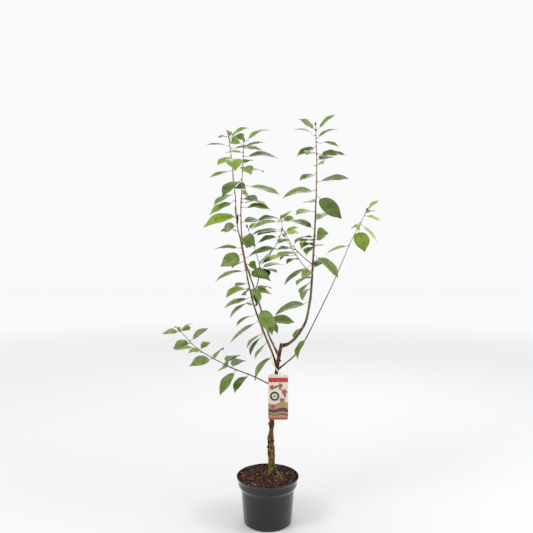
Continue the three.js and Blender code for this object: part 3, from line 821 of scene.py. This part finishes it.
VEIN_PAIRS = 9
VEIN_SPAN = (0.08, 0.84)  # where the first and the last side vein leave the midrib
VEIN_HALF = 0.0045  # half the width of a side vein, as a share of the blade's length
VEIN_SLANT = 0.62  # how far the side veins run forward before they meet the edge
VEIN_CURVE = 0.4  # how much of that they do near the edge
END_ROWS = (0.035, 0.945)  # of the blade's points
BLADE_OUTLINE = [(0, 0), (0.03, 0.22), (0.10, 0.53), (0.22, 0.82), (0.38, 0.98), (0.52, 1.0),
                 (0.66, 0.88), (0.78, 0.62), (0.87, 0.33), (0.94, 0.13), (1, 0)]
RIB_HALF = 0.045  # half the width of the midrib, as a share of the blade's half
ACROSS = np.array([-1, -0.82, -0.55, -0.28, -RIB_HALF, 0, RIB_HALF, 0.28, 0.55, 0.82, 1])
SHELL = 0.17 * MM  # from the middle of the blade to each side
PUFF = 0.9 * MM  # how far the blade rises between two veins
MIDRIB_GROOVE = 0.3 * MM
VEIN_GROOVE = 0.22 * MM
TOOTH_LEAN = 0.72  # how far forward between two rows of points a tooth stands
TOOTH_REACH = 0.3  # how far it stands out, as a share of the way between the rows
BOW = 0.46  # where the arch pulls, as a share of the blade's length
FOLD_EASE = 0.35  # how much a folded half flattens towards its edge
UNTWISTED = 0.35  # where a twisted blade lies as it would untwisted
# How a blade that shows little of its width and one that shows most of it are bent. Each is
# taken by the share of the width that shows, from the first of OPEN_SHARES to the second.
OPEN_SHARES = (0.1, 0.6)
FOLD = (0.03, 0.3)  # rise of each half, for each millimetre from the midrib
TWIST = (0.08, 0.5)  # radians
WAVE = (0.5, 1.4)  # millimetres
FOLD_SPREAD = (0.6, 1.4)  # from leaf to leaf, as those below
WAVE_SPREAD = (0.4, 1.2)
WAVE_COUNT = (1.5, 2.6)
SEEN_ARCH = (0.05, 0.14)  # rise of the blade's middle, as a share of its length
HIDDEN_ARCH = (0.01, 0.04)

side_veins = np.linspace(*VEIN_SPAN, VEIN_PAIRS)
crests = side_veins + (side_veins[1] - side_veins[0]) / 2
rows = np.sort(np.hstack([END_ROWS, side_veins - VEIN_HALF, side_veins + VEIN_HALF, crests]))
outline = along(np.array([(share, breadth, 0) for share, breadth in BLADE_OUTLINE]), 0.01)
ROWS, COLUMNS = len(rows), len(ACROSS)
UNDER = ROWS * COLUMNS  # the first point of the underside, which shares the upper side's edge
TEETH = UNDER + ROWS * (COLUMNS - 2)
BASE = TEETH + 2 * (ROWS - 1)
TIP = BASE + 1
DEEP, MID, FRESH_AND_GLOW, YOUNG_AND_TOP_LIT, PALE, RIB, PALE_RIB = range(7)


def blade_faces():
    """Faces of any blade, and the finish of each, where DEEP stands for the blade's own green."""
    faces, which = [], []

    def corner(under, row, column):
        """Number of a point of one side. The two sides share those along the edge."""
        if under and 0 < column < COLUMNS - 1:
            return UNDER + row * (COLUMNS - 2) + column - 1
        return row * COLUMNS + column

    for under in (False, True):
        green, rib = (PALE, PALE_RIB) if under else (DEEP, RIB)
        made = []
        for column in range(COLUMNS - 1):
            own = rib if abs(ACROSS[column] + ACROSS[column + 1]) <= RIB_HALF else green
            made.append(((BASE, corner(under, 0, column), corner(under, 0, column + 1)), own))
            last = ROWS - 1
            made.append(((corner(under, last, column), TIP, corner(under, last, column + 1)), own))
            for row in range(last):
                a, b = corner(under, row, column), corner(under, row + 1, column)
                c, d = corner(under, row + 1, column + 1), corner(under, row, column + 1)
                face = (a, b, c, d)
                if column == 0:
                    face = (TEETH + 2 * row, b, c, d, a)
                elif column == COLUMNS - 2:
                    face = (a, b, c, TEETH + 2 * row + 1, d)
                narrow = rows[row + 1] - rows[row] < 3 * VEIN_HALF
                made.append((face, rib if narrow else own))
        for face, own in made:
            faces.append(face[::-1] if under else face)
            which.append(own)
    return faces, np.array(which)


def blade_points(start, tip, normal, breadth, arch, fold, twist, waves):
    """Points of one blade from its stalk to its tip, arched, folded, twisted and wavy."""
    length = np.linalg.norm(tip - start)
    forward = (tip - start) / length
    normal = square_to(normal, forward)
    side = np.cross(normal, forward)
    edge = rows + VEIN_SLANT * rows * (1 - rows)
    half = breadth / 2 * np.interp(edge, outline[:, 0], outline[:, 1])
    u = np.abs(ACROSS)
    t = rows[:, None] + (edge - rows)[:, None] * ((1 - VEIN_CURVE) * u + VEIN_CURVE * u * u)
    y = half[:, None] * ACROSS
    height, count, phase = waves
    z = fold * np.abs(y) - FOLD_EASE * fold * y * y / (breadth / 2)
    z += height * u**2 * np.sin(2 * math.pi * (count * t + phase * np.sign(ACROSS)))
    z += PUFF * np.isin(rows, crests)[:, None] * 4 * u * (1 - u) * half[:, None] / (breadth / 2)
    groove = np.where(u == 0, MIDRIB_GROOVE, 0)
    vein = np.where(np.isin(rows, crests), 0, VEIN_GROOVE)[:, None] * (1 - u)
    upper = z + SHELL * (u < 1) - groove
    lower = (z - SHELL - 2 * groove - vein)[:, 1:-1]
    step = np.diff(edge)
    tooth_t = edge[:-1] + TOOTH_LEAN * step
    tooth_y = breadth / 2 * np.interp(tooth_t, outline[:, 0], outline[:, 1]) + TOOTH_REACH * step * length
    tooth_y = np.column_stack([-tooth_y, tooth_y]).ravel()
    tooth_z = ((z[:-1] + z[1:]) / 2)[:, [0, -1]].ravel()
    t = np.hstack([t.ravel(), t[:, 1:-1].ravel(), np.repeat(tooth_t, 2), 0, 1])[:, None]
    y = np.hstack([y.ravel(), y[:, 1:-1].ravel(), tooth_y, 0, 0])[:, None]
    z = np.hstack([upper.ravel(), lower.ravel(), tooth_z, 0, 0])[:, None]
    bow, rise = BOW * length, 2 * arch * length
    ahead = 2 * (1 - 2 * t) * bow + 2 * t * length
    climb = 2 * (1 - 2 * t) * rise
    slope = np.hypot(ahead, climb)
    up = (ahead * normal - climb * forward) / slope
    turn = twist * (t - UNTWISTED)
    across = side * np.cos(turn) + up * np.sin(turn)
    up = up * np.cos(turn) - side * np.sin(turn)
    middle = start + (2 * t * (1 - t) * bow + t * t * length) * forward + 2 * t * (1 - t) * rise * normal
    return middle + y * across + z * up


def facing(start, tip, seen, breadth):
    """Upper normal of a blade that shows this much of its width, or of its underside, in front."""
    view = unit(start - EYE)
    forward = unit(tip - start)
    level = unit(np.cross(view, forward))
    level = level if level[2] > 0 else -level
    other = np.cross(forward, level)
    share = min(0.98, abs(seen) / breadth) * np.sign(other @ view) * np.sign(seen)
    return math.sqrt(1 - share * share) * level - share * other


LEAF_GREENS = {  # two colours, the range of roughness, and the shine
    # The paler of the two colours of the deep and the mid green is lifted towards grey: painted sheen over
    # the leaf's own green.
    "leaf_deep_green_and_painted_sheen": ((0.033, 0.070, 0.005), (0.094, 0.138, 0.026), (0.36, 0.52), 0.26),
    "leaf_mid_green_and_painted_sheen": ((0.102, 0.158, 0.024), (0.206, 0.266, 0.084), (0.36, 0.52), 0.26),
    # The fresh green is brighter than the leaf's own green: painted glow of light shining through the
    # blade.
    "leaf_fresh_green_and_painted_glow": ((0.140, 0.220, 0.016), (0.215, 0.305, 0.042), (0.34, 0.5), 0.16),
    # The young green is the pale green of young leaves, made brighter still: painted light from above.
    "leaf_young_green_and_painted_top_light": ((0.310, 0.410, 0.080), (0.420, 0.510, 0.150), (0.34, 0.5), 0.16),
    "leaf_underside": ((0.180, 0.240, 0.105), (0.250, 0.315, 0.155), (0.5, 0.7), 0.16),
    "leaf_rib": ((0.125, 0.205, 0.030), (0.190, 0.270, 0.060), (0.34, 0.5), 0.16),
    "leaf_underside_rib": ((0.290, 0.350, 0.150), (0.370, 0.420, 0.210), (0.5, 0.7), 0.16),
}
leaf_finishes = [
    finish(name, mottled(dark, light, 40.0), roughness,
           lambda tree: patches(tree, 900.0, 0.2, 0.8), 0.0003, Specular_IOR_Level=shine)
    for name, (dark, light, roughness, shine) in LEAF_GREENS.items()
]
# The fresh green among these leaves also carries painted glow.
HIDDEN_GREENS = (0.45, 0.40, 0.15)  # shares of deep, mid and fresh, of the leaves the front hides
HIDDEN_SLANT = (-32, 28)  # degrees by which those leaves fall or rise
stalk_finish = finish(
    "leaf_stalk_red", mottled((0.200, 0.060, 0.030), (0.280, 0.170, 0.070), 60.0), (0.35, 0.5),
)
bud_finish = finish(
    "bud_scales", mottled((0.070, 0.026, 0.015), (0.170, 0.070, 0.035), 500.0), (0.45, 0.65),
)
BLADE_FACES, BLADE_WHICH = blade_faces()
chance = np.random.default_rng(2024)
stalks, buds = [], []


def at_height(line, height):
    """Point of a shoot's middle line at a height, and the way that the shoot runs there."""
    ahead = unit(np.gradient(line, axis=0))
    heights = line[:, 2]
    place = np.array([np.interp(height, heights, line[:, axis]) for axis in range(3)])
    return place, unit(np.array([np.interp(height, heights, ahead[:, axis]) for axis in range(3)]))


def hang(blades, node, ahead, tip, seen, green):
    """One leaf from its node to its tip: its stalk, glands, blade and the bud over the stalk."""
    span = np.linalg.norm(tip - node)
    stalk = min(chance.uniform(*STALK_SHARE) * span, LONGEST_STALK)
    outward = square_to((tip - node) * STALK_LEVEL, ahead)
    start = node + (tip - node) * stalk / span + np.array([0, 0, STALK_LIFT * stalk])
    bend = node + outward * STALK_BEND[0] * stalk + ahead * STALK_BEND[1] * stalk
    share = np.linspace(0, 1, len(STALK_GIRTH))[:, None]
    centres = (1 - share) ** 2 * node + 2 * share * (1 - share) * bend + share**2 * start
    stalks.append((*tube(centres, STALK_GIRTH, STALK_SIDES), 0))
    breadth = BLADE_BREADTH * np.linalg.norm(tip - start) * chance.uniform(*BREADTH_SPREAD)
    breadth = max(min(breadth, BROAD), min(abs(seen), BROADEST) / 0.97)
    open_share = abs(seen) / breadth  # blades seen nearly edge on are kept flatter
    if seen == 0:
        normal = unit(np.cross(node - EYE, ahead)) * chance.choice((-1, 1)) + chance.normal(0, 0.12, 3)
    else:
        normal = facing(start, tip, seen, breadth)
    for hand in (-1, 1):
        side = unit(np.cross(normal, tip - start))
        place = centres[-1] - (start - bend) * GLAND_BELOW + hand * side * GLAND_APART
        stalks.append((*ball(place, GLAND, 6, 4), 0))
    points = blade_points(
        start, tip, normal, breadth, chance.uniform(*(HIDDEN_ARCH if seen == 0 else SEEN_ARCH)),
        np.interp(open_share, OPEN_SHARES, FOLD) * chance.uniform(*FOLD_SPREAD),
        np.interp(open_share, OPEN_SHARES, TWIST) * chance.uniform(-1, 1),
        (np.interp(open_share, OPEN_SHARES, WAVE) * chance.uniform(*WAVE_SPREAD) * MM,
         chance.uniform(*WAVE_COUNT), chance.random()),
    )
    blades.append((points, BLADE_FACES, np.where(BLADE_WHICH == DEEP, green, BLADE_WHICH)))
    place = node + ahead * BUD_PLACE[0] + outward * BUD_PLACE[1]
    grow_bud(place, unit(ahead + BUD_LEAN * outward), BUD)


def grow_bud(place, ahead, length):
    """A pointed egg-shaped bud."""
    share = np.array([0, 0.12, 0.35, 0.62, 0.85, 1])
    girth = np.array([0.12, 0.24, 0.28, 0.22, 0.11, 0.02]) * length
    buds.append((*tube(place + share[:, None] * length * ahead, girth, BUD_SIDES), 0))


def grown(below):
    """Length of a blade at a node this far below its shoot's tip, where the young ones are."""
    age = min(1.0, 0.5 + 0.5 * below / YOUNG_STRETCH)
    return age * chance.uniform(*FULL_BLADE) * MM


front, back = cad_box[0][1], cad_box[1][1]
for name, (line, radii) in SHOOTS.items():
    blades = []
    top = line[-1, 2]
    for height, reach, rise, seen, green in LEAVES_SEEN[name]:
        node, ahead = at_height(line, MM * height)
        full = max(grown(top - MM * height), abs(seen) * MM / WIDEST)
        span = max(LEAF_SPAN * full, LEAST_SPAN * MM * math.hypot(reach, rise))
        depth = math.sqrt(span**2 - (MM * math.hypot(reach, rise)) ** 2)
        toward = chance.choice((-1, 1))
        if depth > STEEP[0] * span and abs(rise) > STEEP[1]:  # only one way shows the right side
            toward = math.copysign(1, rise) * math.copysign(1, seen)
        tip_y = min(max(node[1] + toward * depth, front), back)
        stretch = (tip_y - EYE[1]) / (node[1] - EYE[1])
        tip = EYE + (node + MM * np.array([reach, 0, rise]) - EYE) * stretch
        hang(blades, node, ahead, tip, MM * seen, green)
    # Leaves in front of and behind the shoot, edge on to the front, wherever there is room.
    count = 0
    for height in np.arange(top - NODE_BELOW, nodes[name][0], -NODE_SPACING):
        crowded = np.abs(np.array(nodes[name]) - height).min() < NODE_CLEAR
        if crowded or name == "right_thin" and height < BARE_BELOW:
            continue
        count += 1
        node, ahead = at_height(line, height)
        full = grown(top - height)
        away = unit(node - EYE)
        rising = square_to(ahead, away)
        slant = math.radians(chance.uniform(*HIDDEN_SLANT))
        side = math.copysign(1, math.sin(count * GOLDEN_TURN))
        across = side * math.cos(slant) * away + math.sin(slant) * rising
        tip = node + HIDDEN_SPAN * full * across
        tip[1] = min(max(tip[1], front), back)
        hang(blades, node, ahead, tip, 0, chance.choice((DEEP, MID, FRESH_AND_GLOW), p=HIDDEN_GREENS))
    # Half-folded young leaves round the bud at the tip.
    _, ahead = at_height(line, top)
    for number, length in enumerate(MM * np.array(TUFT_LENGTHS)):
        turn = number * GOLDEN_TURN + chance.random()
        lean = unit(ahead + TUFT_LEAN * np.array([math.cos(turn), math.sin(turn), 0]))
        start = line[-1] - ahead * number * TUFT_STEP
        normal = unit(np.cross(np.cross(lean, ahead), lean))
        tip = start + lean * length
        points = blade_points(start, tip, normal, TUFT_BREADTH * length, *TUFT_BEND, (0, 1, 0))
        blades.append((points, BLADE_FACES, np.where(BLADE_WHICH == DEEP, MID, BLADE_WHICH)))
    grow_bud(line[-1] - ahead * MM, ahead, TIP_BUD)
    # Sleeping buds on the bare wood below the lowest leaf.
    lowest, highest = line[0, 2] + SLEEPING_CLEAR[0], nodes[name][0] - SLEEPING_CLEAR[1]
    for number, height in enumerate(np.arange(lowest, highest, SLEEPING_SPACING)):
        node, ahead = at_height(line, height)
        turn = number * GOLDEN_TURN
        outward = square_to(np.array([math.cos(turn), math.sin(turn), 0]), ahead)
        reach = np.interp(height, line[:, 2], radii)
        place = node + outward * (reach - SLEEPING_SUNK)
        grow_bud(place, unit(ahead + SLEEPING_LEAN * outward), SLEEPING_BUD)
    points, faces, which = joined(blades)
    leaves = piece(f"leaf_blades_{name}", points, faces, leaf_finishes, which)
    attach(leaves, "root")
    masses = [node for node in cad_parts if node.rstrip("0123456789") == f"leaves_{name}_"]
    if name == "right_thin":
        masses.append("leaf_right_thin_low")
    if masses:
        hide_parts(*masses)
points, faces, _ = joined(stalks)
leaf_stalks = piece("leaf_stalks", points, faces, [stalk_finish])
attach(leaf_stalks, "root")
points, faces, _ = joined(buds)
shoot_buds = piece("shoot_buds", points, faces, [bud_finish])
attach(shoot_buds, "root")

# The hang tag
# A coated card with round corners and a punched hole, printed with plain bands of colour
# and a sprig of blossom. It hangs in front of the stem from the strap.
CARD_CENTRE = np.array([39, 11.3, 453]) * MM
CARD_HALF = np.array([37, 84.5])
CARD_CORNER = 8.0
CARD_THICK = 0.8
CARD_HOLE = (13.7, 79.1, 3.2)  # right of the middle, above it, radius
CARD_CREASE = 40  # degrees
SUNK = 0.02  # how far the back of each colour of the print lies inside the card
INK = 0.07  # how far each colour stands over the one below it
EDGE_STEPS = 60  # points along each side of a band of colour


def rounded(half, corner, steps):
    """Outline of a rectangle with round corners, with points along its sides too."""
    points = []
    for quarter in range(4):
        middle = (half - corner) * ((1, 1), (-1, 1), (-1, -1), (1, -1))[quarter]
        turns = np.linspace(0, math.pi / 2, 9) + quarter * math.pi / 2
        arc = middle + corner * np.column_stack([np.cos(turns), np.sin(turns)])
        points.append(arc)
        following = (half - corner) * ((-1, 1), (-1, -1), (1, -1), (1, 1))[quarter]
        leave, arrive = arc[-1], following + corner * np.array([np.cos(turns[-1]), np.sin(turns[-1])])
        points.append(leave + np.linspace(0, 1, steps + 2)[1:-1, None] * (arrive - leave))
    return np.vstack(points)


def field(bottom, top):
    """The part of the card between two lines that run across it."""
    points = rounded(CARD_HALF - 0.4, CARD_CORNER - 0.4, EDGE_STEPS)
    x = points[:, 0]
    points = np.column_stack([x, np.clip(points[:, 1], bottom(x), top(x))])
    moved = np.linalg.norm(points - np.roll(points, 1, axis=0), axis=1) > 0.01
    return points[moved]


def blossom(x, z, size, turn):
    """Outline of an open blossom with five notched petals."""
    angle = np.linspace(0, 2 * math.pi, 80, endpoint=False)
    reach = size * (0.45 + 0.55 * np.abs(np.cos(2.5 * angle)) ** 0.55)
    return np.column_stack([x + reach * np.cos(angle + turn), z + reach * np.sin(angle + turn)])


def disc(x, z, size, scallop=0.0, count=1):
    """Outline of a disc, or of one with a scalloped edge."""
    angle = np.linspace(0, 2 * math.pi, 72, endpoint=False)
    reach = size + scallop * np.abs(np.cos(count * angle / 2))
    return np.column_stack([x + reach * np.cos(angle), z + reach * np.sin(angle)])


def leaflet(x, z, length, turn):
    """Outline of a small pointed leaf that starts at (x, z)."""
    share = np.linspace(0, 1, 14)
    half = 0.26 * length * np.sin(math.pi * share**0.85)
    outline = np.vstack([np.column_stack([share * length, half]),
                         np.column_stack([share * length, -half])[-2:0:-1]])
    cosine, sine = math.cos(turn), math.sin(turn)
    return outline @ np.array([(cosine, sine), (-sine, cosine)]) + (x, z)


def ribbon(points, width):
    """Outline of a curved line of the given width."""
    line = along(np.array([(x, z, 0) for x, z in points], float), 1.5)[:, :2]
    ahead = unit(np.gradient(line, axis=0))
    across = np.column_stack([-ahead[:, 1], ahead[:, 0]]) * width / 2
    return np.vstack([line + across, (line - across)[::-1]])


def plate(count):
    """Faces between a front outline and a back outline, each of as many points."""
    faces = [tuple(range(count)), tuple(range(count, 2 * count))[::-1]]
    for i in range(count):
        j = (i + 1) % count
        faces.append((i, count + i, count + j, j))
    return faces


def slab(outline, back, front):
    """Points and faces of a flat shape of the card, from one depth to another."""
    points = np.vstack([
        np.column_stack([outline[:, 0], np.full(len(outline), depth), outline[:, 1]])
        for depth in (front, back)
    ])
    return CARD_CENTRE + points * MM, plate(len(outline))


def coated(name, colour):
    """Printed card with a glossy coat and the faint grain of the board."""
    paler = tuple(min(1, 1.12 * channel + 0.01) for channel in colour)
    return finish(name, mottled(colour, paler, 300.0), (0.25, 0.4), lambda tree: patches(tree, 1500.0),
                  0.0001, Coat_Weight=0.4, Coat_Roughness=0.15)


card_finish = coated("card_cream", (0.610, 0.560, 0.460))
INKS = {
    "print_red": (0.360, 0.014, 0.008), "print_tan": (0.350, 0.195, 0.085),
    "print_brown": (0.060, 0.022, 0.008), "print_dark": (0.008, 0.006, 0.005),
    "print_green": (0.022, 0.120, 0.035), "print_leaf": (0.140, 0.270, 0.050),
    "print_pink": (0.330, 0.070, 0.050),
}
print_finishes = [*(coated(name, colour) for name, colour in INKS.items()), card_finish]
RED, TAN, BROWN, DARK, GREEN, LEAF, PINK, CREAM = range(8)
points, faces = slab(rounded(CARD_HALF, CARD_CORNER, 4), CARD_THICK / 2, -CARD_THICK / 2)
card = piece("tag_card", points, faces, [card_finish], crease=CARD_CREASE)
x, z, radius = CARD_HOLE
points, faces = slab(disc(x, z, radius), CARD_THICK, -CARD_THICK)
cut_from(card, points, faces)
card.data.set_sharp_from_angle(angle=math.radians(CARD_CREASE))
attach(card, "root")
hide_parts("tag")

# Each shape's colour and outline, in millimetres from the card's middle. The bands of
# colour are on both sides of the card, and the sprig is on the front only.
BANDS = [
    (RED, field(lambda x: 53 + 3.2 * np.abs(np.sin(x * math.pi / 12.3)), lambda x: 72 + 0 * x)),
    (TAN, field(lambda x: -77 + 0 * x, lambda x: -22 + 5 * np.sin(x * math.pi / 37))),
    (RED, field(lambda x: -84.5 + 0 * x, lambda x: -77 + 0 * x)),
]
SPRIG = [
    (BROWN, field(lambda x: -56 + 3 * np.sin(x * math.pi / 30),
                  lambda x: -43 + 4 * np.sin(x * math.pi / 34))),
    (BROWN, field(lambda x: -67 + 2 * np.sin(x * math.pi / 26),
                  lambda x: -63 + 3 * np.sin(x * math.pi / 29))),
    (DARK, disc(-13, 3, 16, 2.4, 12)),
    (CREAM, disc(-13, 3, 10.5)),
    *((GREEN, leaflet(-13, 3, 8.5, math.radians(turn))) for turn in (90, 210, 330)),
    (BROWN, ribbon([(-30, 27), (-12, 34), (8, 30), (20, 16), (25, -8)], 1.5)),
    (GREEN, leaflet(-14, 34, 17, math.radians(35))), (LEAF, leaflet(2, 32, 15, math.radians(-20))),
    (LEAF, leaflet(24, -6, 16, math.radians(-115))), (GREEN, leaflet(21, 12, 15, math.radians(-60))),
]
BLOSSOMS = [  # right of the card's middle, above it, size and turn
    (-23, 36, 10, 0.2), (8, 42, 10, 0.7), (23, 19, 11.5, 0.1), (13, -11, 8.5, 0.5), (-20, -36, 9, 0.4),
]
for x, z, size, turn in BLOSSOMS:
    SPRIG.append((RED, blossom(x, z, size, turn)))
    SPRIG.append((PINK, blossom(x, z, 0.78 * size, turn)))
    SPRIG.append((DARK, disc(x, z, 0.2 * size)))
parts = []
for colour, shape in BANDS:
    parts.append((*slab(shape, -CARD_THICK / 2 + SUNK, -CARD_THICK / 2 - INK), colour))
    parts.append((*slab(shape, CARD_THICK / 2 + INK, CARD_THICK / 2 - SUNK), colour))
for layer, (colour, shape) in enumerate(SPRIG):
    proud = INK * (2 + 0.12 * layer)
    parts.append((*slab(shape, -CARD_THICK / 2 + SUNK, -CARD_THICK / 2 - proud), colour))
points, faces, which = joined(parts)
tag_print = piece("tag_print", points, faces, print_finishes, which, crease=CARD_CREASE)
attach(tag_print, "root")

# The strap
# A narrow white polythene strap, looped round the stem and through the hole in the card,
# and closed behind the stem by the tab that it is pulled through.
STRAP_CENTRE = np.array([36, 17, 553]) * MM
STRAP_SLOPE = np.array([0.625, 0, -0.781])
STRAP_HALF = (32 * MM, 10.4 * MM)  # half its loop along the slope, and from front to back
STRAP_WIDE = 3.0 * MM
STRAP_THICK = 0.8 * MM
STRAP_STEPS = 72
# Its cross-section: how far out, where 2 is the thickness, and how far across, where 1.7 is
# the width.
STRAP_SECTION = [
    (1, -0.5), (1, 0.5), (0.3, 0.85), (-0.3, 0.85), (-1, 0.5), (-1, -0.5), (-0.3, -0.85), (0.3, -0.85),
]
TAB_HALF = np.array([4.0, 2.6])  # millimetres
TAB_CORNER = 1.2
TAB_DEPTHS = (-1.0, 1.6)
strap_finish = finish(
    "strap_white", mottled((0.80, 0.80, 0.77), (0.88, 0.88, 0.86), 200.0), (0.3, 0.5),
    lambda tree: patches(tree, 500.0), 0.0002,
)
flat_way = np.cross(STRAP_SLOPE, (0, 1, 0))
turns = np.arange(STRAP_STEPS) * 2 * math.pi / STRAP_STEPS
cosines, sines = np.cos(turns)[:, None], np.sin(turns)[:, None]
middle = STRAP_CENTRE + STRAP_HALF[0] * cosines * STRAP_SLOPE + STRAP_HALF[1] * sines * np.array([0, 1, 0])
outward = unit(STRAP_HALF[1] * cosines * STRAP_SLOPE + STRAP_HALF[0] * sines * np.array([0, 1, 0]))
section = [(out / 2 * STRAP_THICK, wide / 1.7 * STRAP_WIDE) for out, wide in STRAP_SECTION]
points = np.stack([middle + out * outward + wide * flat_way for out, wide in section], axis=1)
corners = len(section)
faces = []
for ring in range(STRAP_STEPS):
    here, following = ring * corners, (ring + 1) % STRAP_STEPS * corners
    for side in range(corners):
        beside = (side + 1) % corners
        faces.append((here + side, following + side, following + beside, here + beside))
tab_centre = STRAP_CENTRE + np.array([0, STRAP_HALF[1], 0])
tab = rounded(TAB_HALF, TAB_CORNER, 1) * MM
tab = [tab_centre + a * STRAP_SLOPE + b * flat_way + np.array([0, depth * MM, 0])
       for depth in TAB_DEPTHS for a, b in tab]
loop = (points.reshape(-1, 3), faces, 0)
points, faces, _ = joined([loop, (np.array(tab), plate(len(tab) // 2), 0)])
strap = piece("strap_tie", points, faces, [strap_finish], crease=CARD_CREASE)
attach(strap, "root")
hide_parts("tag_loop")
